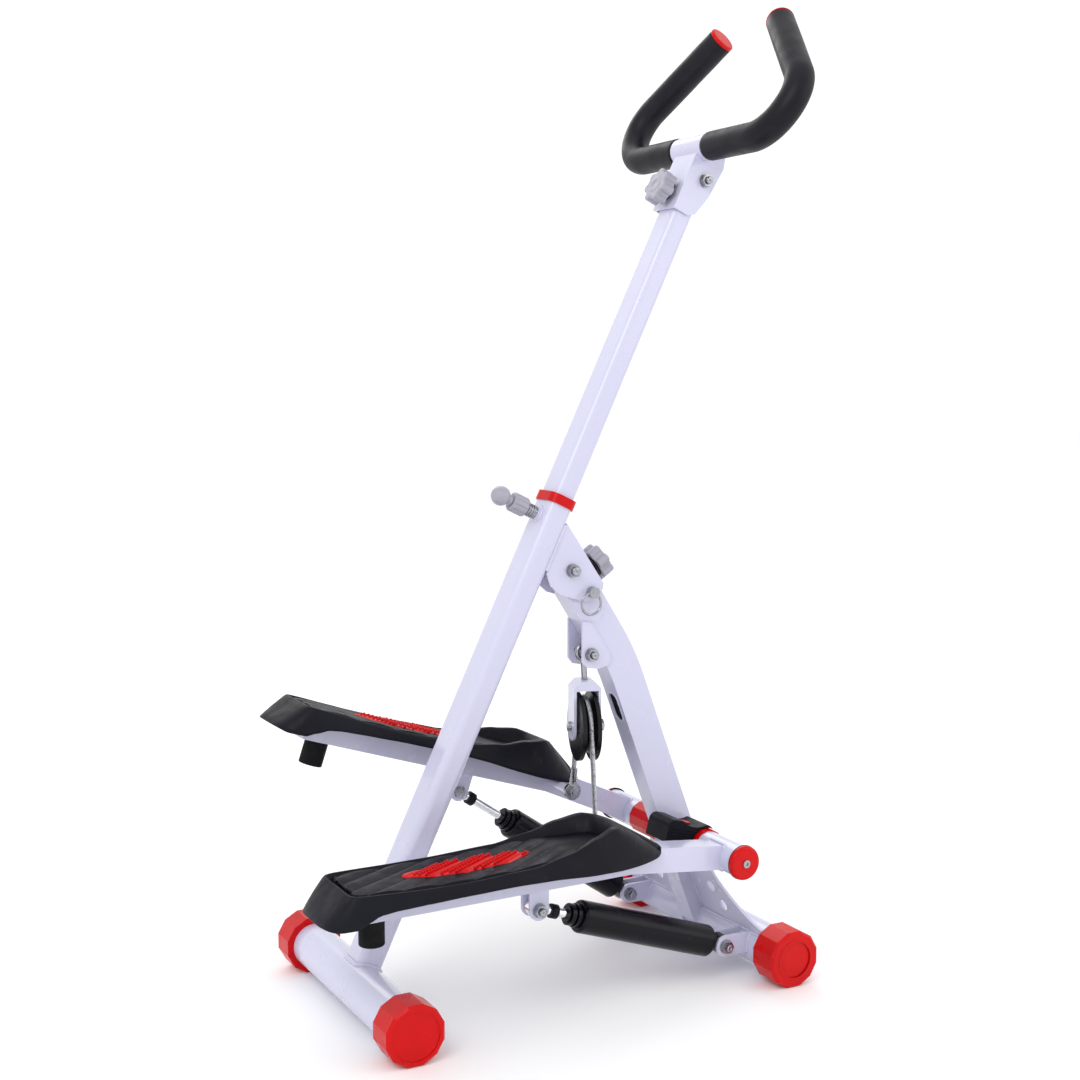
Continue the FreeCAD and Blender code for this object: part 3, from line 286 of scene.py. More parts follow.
def grey_plastic():
    """Light grey moulded knobs with a fine matte grain."""
    s = Surface("grey_plastic", (0.345, 0.335, 0.40), 0.44)
    s.tint(s.noise(45.0, 6.0), (0.285, 0.275, 0.33), 0.42, 0.72)
    s.tint(s.noise(300.0, 8.0), (0.42, 0.42, 0.44), 0.66, 0.84)
    s.polish(s.noise(150.0, 6.0), 0.34, 0.54)
    return s.bump(s.cells(1400.0), 0.03, 0.5).mat


def nylon():
    """Black moulded nylon of the pulley and bushes, polished where it rubs."""
    s = Surface("black_nylon", (0.004, 0.004, 0.005), 0.30, Specular_IOR_Level=0.25)
    s.tint(s.noise(70.0, 8.0), (0.022, 0.022, 0.025), 0.60, 0.90)
    s.polish(s.noise(120.0, 6.0), 0.22, 0.46)
    return s.bump(s.noise(700.0, 4.0), 0.03, 0.5).mat


def wire():
    """Galvanised wire with dirt between the strands."""
    s = Surface("rope_wire", (0.46, 0.47, 0.50), 0.26, Metallic=0.9, Coat_Weight=0.4, Coat_Roughness=0.15)
    s.tint(s.noise(260.0, 6.0), (0.16, 0.16, 0.18), 0.46, 0.78)
    s.polish(s.noise(400.0, 5.0), 0.22, 0.42)
    return s.bump(s.noise(2600.0, 2.0), 0.01, 0.5).mat


def black_metal():
    """Satin black paint of the handlebar's tube."""
    s = Surface("black_metal", (0.008, 0.008, 0.009), 0.42)
    s.tint(s.noise(90.0, 7.0), (0.03, 0.03, 0.034), 0.6, 0.85)
    s.polish(s.noise(60.0, 6.0), 0.34, 0.52)
    return s.bump(s.noise(900.0, 3.0), 0.02, 0.4).mat


LOOK = {
    "white_paint": white_enamel(), "red_plastic": red_plastic(), "black_plastic": tray_plastic(),
    "black_paint": black_enamel(), "black_rubber": rubber(), "foam": foam(), "zinc": zinc(),
    "chrome_rod": chrome(), "grey_plastic": grey_plastic(), "nylon": nylon(), "wire_rope": wire(),
}
BLACK_METAL = black_metal()


def dress_cad_nodes():
    """Every carried-over node gets the material of its slot in the record."""
    for part in frame["record"]["subparts"]:
        node = NODES[part["node"]]
        look = LOOK[part["material_slot"]]
        if part["node"] == "handlebar_tube":
            look = BLACK_METAL
        node.data.materials.clear()
        node.data.materials.append(look)


dress_cad_nodes()


# ---- mesh helpers --------------------------------------------------------------
def piece(name, verts, faces, slot, body):
    """A new mesh piece that takes a record slot's look and rides on a body."""
    mesh = bpy.data.meshes.new(name)
    mesh.from_pydata([tuple(v) for v in verts], [], faces)
    mesh.update()
    obj = bpy.data.objects.new(name, mesh)
    bpy.context.scene.collection.objects.link(obj)
    build = bmesh.new()
    build.from_mesh(mesh)
    bmesh.ops.recalc_face_normals(build, faces=build.faces)
    build.to_mesh(mesh)
    build.free()
    mesh.materials.append(LOOK[slot])
    mesh.shade_smooth()
    if body:
        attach(obj, body)
    return obj


def rings_between(rings, closed_run=False, first=0):
    """Quads that join equal rings in order; closed_run also joins last to first."""
    count = len(rings[0])
    faces = []
    for j in range(len(rings) if closed_run else len(rings) - 1):
        a = first + j * count
        b = first + ((j + 1) % len(rings)) * count
        for k in range(count):
            n = (k + 1) % count
            faces.append((a + k, a + n, b + n, b + k))
    return faces


# ---- pedals ----------------------------------------------------------------------
# Half outlines in plan (x, outward y), from the middle of the heel to the middle of the toe.
RIM = [(-62, 0), (-62.5, 18), (-62.2, 30), (-60, 38.5), (-53, 43.5), (-40, 45.8), (0, 48.5), (60, 51),
       (105, 51), (150, 50.5), (185, 49), (215, 46.5), (237, 42), (250, 35), (257.5, 26), (261, 14),
       (262, 0)]
SKIRT = [(-88, 0), (-87.3, 20), (-84.5, 33), (-77.5, 42), (-64, 48), (-20, 53.5), (50, 57), (100, 57),
         (150, 56.5), (195, 55), (232, 51), (268, 43.5), (295, 34), (309, 24), (316, 12), (318, 0)]
# Heights along the pedal (x, z).
RIM_HEIGHT = [(-62, 179), (20, 177.5), (60, 177.5), (140, 181), (182, 189), (215, 199), (243, 205),
              (262, 203.5)]
SKIRT_HEIGHT = [(-88, 148), (-77, 146), (-58, 147), (-46, 153), (-33, 159.5), (-15, 162), (18, 164),
                (59, 166), (118, 167.2), (161, 166.4), (215, 163), (248, 161.6), (272, 161.6),
                (303, 162.6), (318, 164.5)]
BED_HEIGHT = [(-62, 176.4), (0, 175.4), (60, 175.4), (130, 177.4), (170, 181.0), (205, 184.6), (262, 189)]
OUTLINE_STEPS = 150                # points along each half outline
BED_STEPS = 54                     # cells across the foot bed
SHELL = 2.8                        # turned-in lip at the skirt's lower edge
RIDGE_TURN = math.radians(30)
RIDGE_PITCH = 21.0
RIDGE_HIGH = 2.9
ARM_HALF = 16.2                    # half width of the notch that clears the arm
NOTCH_FROM, NOTCH_SIDE = 255, 3.0  # where the notch starts, and the width of its sloping sides
TOE_FROM, TOE_FULL = 150, 250      # the rim grows into a raised toe between these
WALL = 1.6                         # thickness of the moulded shell
CURVE_STEPS = 24                   # points worked out between two outline points


def profile(points, x):
    """Smoothly interpolated height of a side profile at x."""
    if x <= points[0][0]:
        return points[0][1]
    for (x0, z0), (x1, z1) in zip(points, points[1:]):
        if x <= x1:
            t = (x - x0) / (x1 - x0)
            return z0 + (z1 - z0) * t * t * (3 - 2 * t) * 0.5 + (z1 - z0) * t * 0.5
    return points[-1][1]


def smooth_step(low, high, value):
    """0 below low, 1 above high and a smooth rise between them."""
    t = min(1.0, max(0.0, (value - low) / (high - low)))
    return t * t * (3 - 2 * t)


def catmull(points, steps):
    """Even run of points on a smooth curve through the given ones."""
    ends = [points[0]] + list(points) + [points[-1]]
    fine = []
    for k in range(len(points) - 1):
        p0, p1, p2, p3 = (Vector(p) for p in ends[k:k + 4])
        for j in range(CURVE_STEPS):
            t = j / CURVE_STEPS
            fine.append(0.5 * ((2 * p1) + (p2 - p0) * t + (2 * p0 - 5 * p1 + 4 * p2 - p3) * t * t
                               + (3 * p1 - p0 - 3 * p2 + p3) * t ** 3))
    fine.append(Vector(points[-1]))
    return [fine[round(k * (len(fine) - 1) / steps)] for k in range(steps + 1)]


def closed_outline(points):
    """Both halves of a plan outline, anticlockwise from the heel."""
    half = catmull(points, OUTLINE_STEPS)
    return half + [Vector((p.x, -p.y)) for p in reversed(half[1:-1])]


def inward(outline, amount):
    """The outline moved in by amount, a number or a function of x."""
    count = len(outline)
    moved = []
    for k, p in enumerate(outline):
        run = outline[(k + 1) % count] - outline[k - 1]
        normal = Vector((run.y, -run.x)).normalized()
        depth = amount(p.x) if callable(amount) else amount
        moved.append(p + normal * depth)
    return moved


def ridge(x, y):
    """Height of the slanting lobes that cover the foot bed."""
    u = x * math.sin(RIDGE_TURN) + y * math.cos(RIDGE_TURN)
    lobe = math.sqrt(abs(math.cos(math.pi * u / RIDGE_PITCH)))
    fade = (1 - smooth_step(165, 215, x)) * smooth_step(-60, -40, x)
    return RIDGE_HIGH * lobe * fade


def toe(x):
    return smooth_step(TOE_FROM, TOE_FULL, x)


def bed_height(x, y):
    return profile(BED_HEIGHT, x) + ridge(x, y)


def skirt_height(x, y):
    """Lower edge of the tray, lifted over the arm where the arm comes out."""
    z = profile(SKIRT_HEIGHT, x)
    over_arm = 172.8 - (x - 276.0) * 0.108
    if x > NOTCH_FROM and abs(y) < ARM_HALF + NOTCH_SIDE:
        beside = smooth_step(ARM_HALF, ARM_HALF + NOTCH_SIDE, abs(y))
        z = max(z, over_arm * (1 - beside) + z * beside)
    return z


def tray_rings():
    """Closed loops of the tray's skin, from the underside over the rim to the bed."""
    rim, skirt = closed_outline(RIM), closed_outline(SKIRT)
    rings = []
    rings.append([(p.x, p.y, skirt_height(p.x, p.y) + 1.0) for p in inward(skirt, SHELL)])
    rings.append([(p.x, p.y, skirt_height(p.x, p.y)) for p in inward(skirt, SHELL * 0.75)])
    rings.append([(p.x, p.y, skirt_height(p.x, p.y)) for p in inward(skirt, 0.6)])
    rings.append([(p.x, p.y, skirt_height(p.x, p.y) + 0.8) for p in skirt])
    for share in (0.15, 0.32, 0.5, 0.68, 0.84, 0.94):
        ring = []
        for low, high in zip(skirt, rim):
            p = low.lerp(high, share)
            bulge = 1.3 * math.sin(math.pi * share) * (1 - toe(high.x))
            away = Vector((0, math.copysign(bulge, p.y) if abs(p.y) > 25 else 0))
            z0 = skirt_height(low.x, low.y) + 0.8
            z1 = profile(RIM_HEIGHT, high.x) - 0.8
            ring.append((p.x + away.x, p.y + away.y, z0 + (z1 - z0) * share ** 0.94))
        rings.append(ring)
    for inset, drop in ((0.1, 1.2), (0.7, 0.35), (1.8, 0.0)):
        rings.append([(p.x, p.y, profile(RIM_HEIGHT, p.x) - drop) for p in inward(rim, inset)])
    # Inner edge of the rim: a small step, then the dark groove round the bed.
    for inset, at_toe, drop in ((3.0, 7.5, 0.1), (3.7, 7.5, 0.8), (4.3, 7.6, 2.2), (5.6, 7.8, 2.6)):
        moved = inward(rim, lambda x: inset + at_toe * toe(x))
        rings.append([(p.x, p.y, profile(RIM_HEIGHT, edge.x) - drop) for p, edge in zip(moved, rim)])
    for inset, drop in ((6.2, 2.2), (6.9, 3.2), (8.4, 3.2), (9.2, 1.8)):
        moved = inward(rim, lambda x: inset + 8.0 * toe(x))
        rings.append([(p.x, p.y, profile(BED_HEIGHT, p.x) - drop) for p in moved])
    return rings


def pedal_tray(side):
    """Moulded tray: skirt, rim, groove and ridged bed in one shell."""
    rings = tray_rings()
    count = len(rings[0])
    verts = [on_pedal(side, *p) for ring in rings for p in ring]
    faces = rings_between(rings)
    # The bed: rows across between the two halves of its own edge.
    edge = inward(closed_outline(RIM), lambda x: 9.8 + 8.2 * toe(x))
    first, half, wide = len(verts), OUTLINE_STEPS, BED_STEPS + 1
    for k in range(half + 1):
        low = edge[k]
        high = edge[-k] if 0 < k < half else edge[k]
        for j in range(wide):
            p = low.lerp(high, j / BED_STEPS)
            verts.append(on_pedal(side, p.x, p.y, bed_height(p.x, p.y)))
    for k in range(half):
        for j in range(BED_STEPS):
            a = first + k * wide + j
            faces.append((a, a + 1, a + wide + 1, a + wide))

    def bed_edge(index):
        if index <= half:
            return first + index * wide
        return first + (count - index) * wide + BED_STEPS
    # A strip climbs from the groove to the bed's scalloped edge.
    last = (len(rings) - 1) * count
    for k in range(count):
        n = (k + 1) % count
        faces.append((last + k, last + n, bed_edge(n), bed_edge(k)))
    tray = piece(side + "_tray_shell", verts, faces, "black_plastic", None)
    clean = bmesh.new()
    clean.from_mesh(tray.data)
    bmesh.ops.remove_doubles(clean, verts=clean.verts, dist=0.00002)
    bmesh.ops.dissolve_degenerate(clean, edges=clean.edges, dist=0.00001)
    bmesh.ops.recalc_face_normals(clean, faces=clean.faces)
    clean.to_mesh(tray.data)
    clean.free()
    thick = tray.modifiers.new("shell", "SOLIDIFY")
    thick.thickness = WALL * MM
    thick.offset = -1.0
    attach(tray, side + "_pedal")
    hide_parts(side + "_pedal_tray")


# Half width of the massage leaf along the pedal (x, y).
LEAF = [(10, 0), (16, 6), (30, 12.5), (52, 17), (80, 19.5), (105, 18.5), (130, 14), (148, 8), (157, 3),
        (159, 0)]
NUB_R, NUB_HIGH, NUB_PITCH = 1.75, 3.15, 4.9


def leaf_half(x):
    """Half width of the massage leaf at x."""
    for (x0, y0), (x1, y1) in zip(LEAF, LEAF[1:]):
        if x0 <= x <= x1:
            t = (x - x0) / (x1 - x0)
            return y0 + (y1 - y0) * t
    return 0.0


def leaf_wide(x, y):
    """Leaf edge, scalloped where each lobe ends."""
    u = x * math.sin(RIDGE_TURN) + y * math.cos(RIDGE_TURN)
    return leaf_half(x) * (0.86 + 0.20 * abs(math.cos(math.pi * u / RIDGE_PITCH)))


def pedal_insert(side):
    """Red leaf of slanting lobes, with bands of nubs between smooth bands."""
    verts, faces = [], []
    long_steps, wide_steps = 120, 36
    for k in range(long_steps + 1):
        x = LEAF[0][0] + (LEAF[-1][0] - LEAF[0][0]) * k / long_steps
        for j in range(wide_steps + 1):
            t = 2 * j / wide_steps - 1
            y = t * leaf_wide(x, t * leaf_half(x))
            lift = 2.0 * (1 - abs(t) ** 6) * min(1.0, leaf_half(x) / 4)
            verts.append(on_pedal(side, x, y, bed_height(x, y) - 0.4 + lift))
    wide = wide_steps + 1
    for k in range(long_steps):
        for j in range(wide_steps):
            a = k * wide + j
            faces.append((a, a + 1, a + wide + 1, a + wide))
    for x, y in nub_places():
        base = on_pedal(side, x, y, bed_height(x, y) + 1.1)
        tip = on_pedal(side, x, y, bed_height(x, y) + 2.1)
        up = (tip - base).normalized()
        add_nub(verts, faces, base, up)
    leaf = piece(side + "_massage_leaf", verts, faces, "red_plastic", side + "_pedal")
    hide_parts(side + "_pedal_insert")


def nub_places():
    """Nubs in three rows along each lobe, leaving the lobe's lower flank smooth."""
    places = []
    for lobe in range(-4, 8):
        for row in (-0.26, -0.02, 0.22):
            u = (lobe + row) * RIDGE_PITCH
            for k in range(-60, 60):
                v = (k + 0.5 * (round(row * 10) % 2)) * NUB_PITCH
                x = u * math.sin(RIDGE_TURN) + v * math.cos(RIDGE_TURN)
                y = u * math.cos(RIDGE_TURN) - v * math.sin(RIDGE_TURN)
                if 14 < x < 155 and abs(y) < leaf_wide(x, y) - 2.2:
                    places.append((x, y))
    return places


def add_nub(verts, faces, base, up):
    """A small dome standing on base."""
    side = up.orthogonal().normalized()
    other = up.cross(side)
    rings, sides = 4, 10
    first = len(verts)
    for r in range(rings):
        turn = math.pi / 2 * r / rings
        reach, rise = NUB_R * MM * math.cos(turn) ** 0.7, NUB_HIGH * MM * math.sin(turn)
        for k in range(sides):
            a = 2 * math.pi * k / sides
            verts.append(base + side * (reach * math.cos(a)) + other * (reach * math.sin(a)) + up * rise)
    verts.append(base + up * (NUB_HIGH * MM))
    for r in range(rings - 1):
        for k in range(sides):
            n = (k + 1) % sides
            a, b = first + r * sides, first + (r + 1) * sides
            faces.append((a + k, a + n, b + n, b + k))
    top = first + (rings - 1) * sides
    for k in range(sides):
        faces.append((top + k, top + (k + 1) % sides, len(verts) - 1))


for side, _ in SIDES:
    pedal_tray(side)
    pedal_insert(side)


# ---- shapes swept along a line ------------------------------------------------------
def headings(path, closed=False):
    """Unit directions along a line of points."""
    last = len(path) - 1
    ways = []
    for k in range(last + 1):
        before = path[k - 1] if k > 0 or closed else path[0]
        after = path[(k + 1) % (last + 1)] if k < last or closed else path[last]
        ways.append((after - before).normalized())
    return ways


def tube_rings(path, radius, sides, closed=False, wave=0.0):
    """Round rings along a path; radius is a number or one per point, in millimetres."""
    ways = headings(path, closed)
    side = ways[0].orthogonal().normalized()
    rings = []
    for k, (spot, way) in enumerate(zip(path, ways)):
        side = (side - way * side.dot(way)).normalized()
        other = way.cross(side)
        r = (radius[k] if isinstance(radius, (list, tuple)) else radius) * MM
        r *= 1 + wave * math.sin(k * math.pi / 1.5) + wave * noise.noise(spot * 900)
        rings.append([spot + side * (r * math.cos(2 * math.pi * j / sides))
                      + other * (r * math.sin(2 * math.pi * j / sides)) for j in range(sides)])
    return rings


def tube(name, path, radius, slot, body, sides=16, closed=False, wave=0.0):
    """A round bar along a path, with its ends closed."""
    rings = tube_rings(path, radius, sides, closed, wave)
    verts = [v for ring in rings for v in ring]
    faces = rings_between(rings, closed)
    if not closed:
        faces.append(tuple(range(sides)))
        faces.append(tuple(range(len(verts) - sides, len(verts))))
    return piece(name, verts, faces, slot, body)


def turned(name, start, way, profile_points, slot, body, sides=32, flute=None):
    """Closed surface of revolution; profile points are (along, radius) from start."""
    side = way.orthogonal().normalized()
    other = way.cross(side)
    rings = []
    for along, radius in profile_points:
        ring = []
        for j in range(sides):
            turn = 2 * math.pi * j / sides
            r = (radius - (flute(turn) if flute and radius > 8 else 0.0)) * MM
            spoke = side * (r * math.cos(turn)) + other * (r * math.sin(turn))
            ring.append(start + way * (along * MM) + spoke)
        rings.append(ring)
    verts = [v for ring in rings for v in ring]
    return piece(name, verts, rings_between(rings, True), slot, body)


def dense(points, step=1.1, closed=False):
    """Points along straight runs, about step millimetres apart."""
    run = list(points) + ([points[0]] if closed else [])
    path = []
    for a, b in zip(run, run[1:]):
        count = max(1, round((b - a).length / (step * MM)))
        path += [a.lerp(b, k / count) for k in range(count)]
    return path if closed else path + [run[-1]]


def weld(name, points, body, radius=2.0, closed=False):
    """A painted-over weld bead."""
    return tube(name, dense(points, 1.1, closed), radius, "white_paint", body, 10, closed, 0.10)


# ---- wire cable -------------------------------------------------------------------
SWIVEL = math.radians(16.0)
WHEEL_SIDE = Vector((math.sin(SWIVEL), math.cos(SWIVEL), 0.0))
WHEEL_AXIS = Vector((math.cos(SWIVEL), -math.sin(SWIVEL), 0.0))
CABLE_LINE_R = 33.5
CABLE_X, CABLE_Y, CABLE_Z = 280.0, 38.0, 157.0     # where the cable's eye is bolted to a pedal
IN_FERRULE = 26.0                 # the free cable starts this far from the bolt
WRAP_STEPS = 110
STRANDS, STRAND_R, LAY_R, LAY_PITCH = 6, 0.96, 2.0, 21.0


def cable_bolt(side):
    return on_pedal(side, CABLE_X, CABLE_Y - ARM_Y, CABLE_Z)


def tangent_turn(end):
    """Angle on the wheel where the cable from an end leaves it."""
    y, z = (end - HUB).dot(WHEEL_SIDE), end.z - HUB.z
    spread = math.acos(CABLE_LINE_R * MM / math.hypot(y, z))
    return math.atan2(z, y) + (spread if y > 0 else -spread)


def wheel_point(turn):
    """Middle of the cable at an angle round the wheel."""
    reach = CABLE_LINE_R * MM
    return HUB + WHEEL_SIDE * (reach * math.cos(turn)) + Vector((0, 0, reach * math.sin(turn)))


def rope(name, path, before, body):
    """Twisted strands round a core; before is the length already laid."""
    verts, faces = [], []
    ways = headings(path)
    lengths = [before]
    for a, b in zip(path, path[1:]):
        lengths.append(lengths[-1] + (b - a).length / MM)
    for strand in range(-1, STRANDS):
        centre = []
        for spot, way, length in zip(path, ways, lengths):
            side = (WHEEL_AXIS - way * WHEEL_AXIS.dot(way)).normalized()
            other = way.cross(side)
            turn = 2 * math.pi * (length / LAY_PITCH + strand / STRANDS)
            reach = LAY_R * MM if strand >= 0 else 0.0
            centre.append(spot + side * (reach * math.cos(turn)) + other * (reach * math.sin(turn)))
        rings = tube_rings(centre, STRAND_R, 8)
        first = len(verts)
        verts += [v for ring in rings for v in ring]
        faces += rings_between(rings, False, first)
        faces.append(tuple(range(first, first + 8)))
        faces.append(tuple(range(len(verts) - 8, len(verts))))
    return piece(name, verts, faces, "wire_rope", body), lengths[-1]


def wire_cable():
    """One cable in three pieces: a leg to each pedal and the run over the wheel."""
    laid = 0.0
    turns = {side: tangent_turn(cable_bolt(side)) for side in ("right", "left")}
    first, last = turns["right"] % (2 * math.pi), turns["left"] % (2 * math.pi)
    if last > first:
        last -= 2 * math.pi
    for side in ("right", "left"):
        bolt, top = cable_bolt(side), wheel_point(turns[side])
        way = (top - bolt).normalized()
        foot = bolt + way * (IN_FERRULE * MM)
        leg = dense([foot, top], 1.0)
        if side == "left":
            arc = [wheel_point(first + (last - first) * k / WRAP_STEPS) for k in range(WRAP_STEPS + 1)]
            wrap, laid = rope("cable_on_pulley", arc, laid, "front_frame")
            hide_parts("cable_over_pulley")
            leg.reverse()
        cable, laid = rope(side + "_cable", leg, laid, None)
        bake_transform(cable)
        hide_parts(side + "_cable_leg")


wire_cable()


# ---- handlebar grips --------------------------------------------------------------
BAR = on_mast(-7.6, 1011.0)        # middle of the bar in its clamp
BAR_TILT = math.radians(62.0)
# Corners of one half of the bar (sideways, out along the tilted plane).
BAR_LINE = [(31.0, 0.0), (142.0, 0.0), (165.0, 56.0), (59.0, 158.0)]
BAR_BENDS = [48.0, 40.0]
GRIP_R, GRIP_BORE = 16.5, 12.75


def bar_point(sideways, out, side):
    """A point of the bar's plane, which tilts about the clamp."""
    return BAR + Vector((out * math.cos(BAR_TILT), sideways * side, out * math.sin(BAR_TILT))) * MM


def bent_path(corners, bends, step=2.0):
    """Even points along straight runs joined by arcs."""
    path = []
    start = corners[0]
    for k, radius in enumerate(bends):
        corner = corners[k + 1]
        back = (corners[k] - corner).normalized()
        on = (corners[k + 2] - corner).normalized()
        half = back.angle(on) / 2
        reach = radius * MM / math.tan(half)
        centre = corner + (back + on).normalized() * (radius * MM / math.sin(half))
        a, b = corner + back * reach, corner + on * reach
        path += dense([start, a], step)[:-1]
        sweep = math.pi - 2 * half
        count = max(6, round(sweep * radius / step))
        u, v = (a - centre), (b - centre)
        for j in range(count):
            t = j / count
            path.append(centre + (u * math.sin((1 - t) * sweep) + v * math.sin(t * sweep)) / math.sin(sweep))
        start = b
    return path + dense([start, corners[-1]], step)


def foam_grip(side):
    """Foam sleeve with a rounded inner end, pushed up to the end cap."""
    sign = 1 if side == "left" else -1
    corners = [bar_point(y, out, sign) for y, out in BAR_LINE]
    path = bent_path(corners, BAR_BENDS)
    way = headings(path)[0]
    lead = [path[0] + way * (d * MM) for d in (0.0, 0.3, 0.9, 1.8, 3.2)]
    path = lead + [p for p in path if (p - path[0]).length > 4.2 * MM]
    outer = [GRIP_R - 2.6, GRIP_R - 1.3, GRIP_R - 0.55, GRIP_R - 0.15, GRIP_R]
    outer += [GRIP_R + 0.16 * noise.noise(p * 45) for p in path[5:]]
    outer[-1] = GRIP_R - 0.7
    outer[-2] = GRIP_R - 0.1
    rings = tube_rings(path, outer, 40)
    rings += list(reversed(tube_rings(path, GRIP_BORE, 40)))
    verts = [v for ring in rings for v in ring]
    grip = piece(side + "_foam_grip", verts, rings_between(rings, True), "foam", "handlebar")
    return grip


for grip in (foam_grip("right"), foam_grip("left")):
    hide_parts("foam_grips")


# ---- welds ------------------------------------------------------------------------
def box_line(deep, wide, corner, steps=6):
    """Rounded rectangle as (n, y) pairs."""
    points = []
    for k, (sn, sy) in enumerate(((1, 1), (-1, 1), (-1, -1), (1, -1))):
        for j in range(steps + 1):
            turn = math.pi / 2 * (k + j / steps)
            points.append((sn * (deep / 2 - corner) + corner * math.cos(turn),
                           sy * (wide / 2 - corner) + corner * math.sin(turn)))
    return points


def onto_tube(base, up, out, n, y, axis, radius):
    """Where a line parallel to up meets a tube that runs across."""
    spot = base + out * (n * MM)
    away = Vector((spot.x - axis.x, 0, spot.z - axis.z))
    b = away.dot(up)
    c = away.length_squared - (radius * MM) ** 2
    reach = -b + math.sqrt(max(0.0, b * b - c))
    return spot + up * reach + Vector((0, y * MM, 0))


STRUT_UP = Vector((-math.sin(STRUT_LEAN), 0, math.cos(STRUT_LEAN)))
STRUT_OUT = Vector((STRUT_UP.z, 0, -STRUT_UP.x))
STRUT_FOOT, FRONT_BAR = at(STRUT_X, 0, FOOT_Z), at(FRONT_X, 0, FOOT_Z)


def frame_welds():
    """Beads at the tubes' feet, the gussets, brackets, hinge ears and the pin's boss."""
    rim = [onto_tube(MAST_FOOT, MAST_UP, MAST_FRONT, n, y, MAST_FOOT, 25.4)
           for n, y in box_line(31, 43, 9.5)]
    weld("weld_mast_foot", rim, "mast", 2.6, True)
    rim = [onto_tube(STRUT_FOOT, STRUT_UP, STRUT_OUT, n, y, FRONT_BAR, 25.3)
           for n, y in box_line(41, 31, 3)]
    weld("weld_strut_foot", rim, "front_frame", 2.4, True)
    for tag, sign in SIDES:
        run = [STRUT_FOOT + STRUT_UP * (s * MM) - STRUT_OUT * (3.6 * MM) + Vector((0, sign * 15.6 * MM, 0))
               for s in (27, 96)]
        weld("weld_gusset_strut_" + tag, run, "front_frame", 1.9)
        run = [onto_tube(STRUT_FOOT, STRUT_UP, STRUT_OUT, -3.8, sign * y, FRONT_BAR, 25.2)
               for y in (18, 136)]
        weld("weld_gusset_foot_" + tag, run, "front_frame", 1.8)
        run = [at(x, sign * 16.6, z) for x, z in ((284.5, 407), (297.5, 387.5), (310.5, 367))]
        weld("weld_hanger_" + tag, run, "front_frame", 1.7)
        run = [on_mast(13.6, s, sign * 18.3) for s in (493, 549)]
        weld("weld_hinge_" + tag, run, "mast", 1.9)
        for near in (-1, 1):
            y = sign * ARM_Y + near * 11.4
            run = [at(FRONT_X - math.sqrt(25.2 ** 2 - (z - FOOT_Z) ** 2), y, z)
                   for z in (27, 31, 35, 39, 43, 47, 50)]
            weld("weld_clevis_%s_%d" % (tag, near + 1), run, "front_frame", 1.5)
    turns = [math.pi * k / 10 for k in range(20)]
    ring = [on_mast(-15.2, PIN_S + 9.0 * math.sin(turn), 9.0 * math.cos(turn)) for turn in turns]
    weld("weld_pin_boss", ring, "mast", 1.6, True)


def pedal_welds(side):
    """Beads between the arm and its sleeve, and along the rod bracket's plates."""
    slope = math.atan2(AXLE_Z - 157.6, AXLE_X - 276.0)
    run, rise = math.cos(slope), math.sin(slope)
    rim = []
    for h, y in box_line(28.6, 30.6, 2.0, 3):
        back = math.sqrt(18.2 ** 2 - h * h)
        rim.append(on_pedal(side, AXLE_X - run * back - rise * h, y, AXLE_Z - rise * back + run * h))
    weld(side + "_weld_sleeve", rim, side + "_pedal", 2.0, True)
    for near in (-1, 1):
        line = [on_pedal(side, x, near * 11.2, 153.5 + 4.1 * (x + 46) / 322 - 14.6) for x in (154.5, 175.5)]
        weld("%s_weld_bracket_%d" % (side, near + 1), line, side + "_pedal", 1.6)


frame_welds()
for side in ("right", "left"):
    pedal_welds(side)


# ---- knobs, pin and caps ------------------------------------------------------------
def fluted_barrel():
    """Grip barrel of the height pin, with lengthwise flutes."""
    def flute(turn):
        return 1.3 * max(0.0, math.cos(10 * turn)) ** 2
    shape = [(0, 4.25), (0, 8.9), (0.5, 10.4), (1.6, 11.0), (5, 11.0), (10, 11.0), (15, 11.0),
             (18.2, 11.0), (19.2, 10.4), (19.7, 8.9), (19.7, 4.25)]
    barrel = turned("fluted_barrel", on_mast(-32.3, PIN_S), -MAST_FRONT, shape, "grey_plastic",
                    "pin_barrel", 120, flute)
    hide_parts("pin_barrel")
    groove = [(0, 7.15), (0, 7.7), (0.5, 8.0), (1.4, 8.0), (1.9, 7.7), (1.9, 7.15)]
    for k in range(3):
        turned("nipple_ring_%d" % k, on_mast(-22.0 - 3.4 * k, PIN_S), -MAST_FRONT, groove, "zinc", "mast", 32)


def knob_details(name, base, out, body):
    """Black ring under a star knob, painted shade of its hollow underside, and the knob's raised centre."""
    # Black nylon ring: painted shade inside the knob's hollow underside.
    shape = [(3.7, 9.1), (3.7, 13.6), (4.2, 14.2), (7.4, 14.2), (7.4, 9.1)]
    turned(name + "_hollow_shade", base, out, shape, "nylon", body, 40)
    shape = [(21.6, 0.4), (22.5, 0.4), (22.5, 9.0), (22.2, 10.2), (21.6, 10.8)]
    turned(name + "_face", base, out, shape, "grey_plastic", body, 40)


def thread_end(name, start, way, body, radius=4.0):
    """Threaded end of a bolt, standing past its nut."""
    ridges = [(0.05, 0.05), (-0.4, 0.4), (0.0, 0.1), (0.35, 0.4), (0.7, 0.0), (1.05, 0.4), (1.4, 0.0),
              (1.75, 0.3), (2.4, -0.6)]
    shape = [(0.05, 0.4)] + [(along, radius + rise) for along, rise in ridges] + [(2.4, 0.4)]
    turned(name, start, way, shape, "zinc", body, 28)


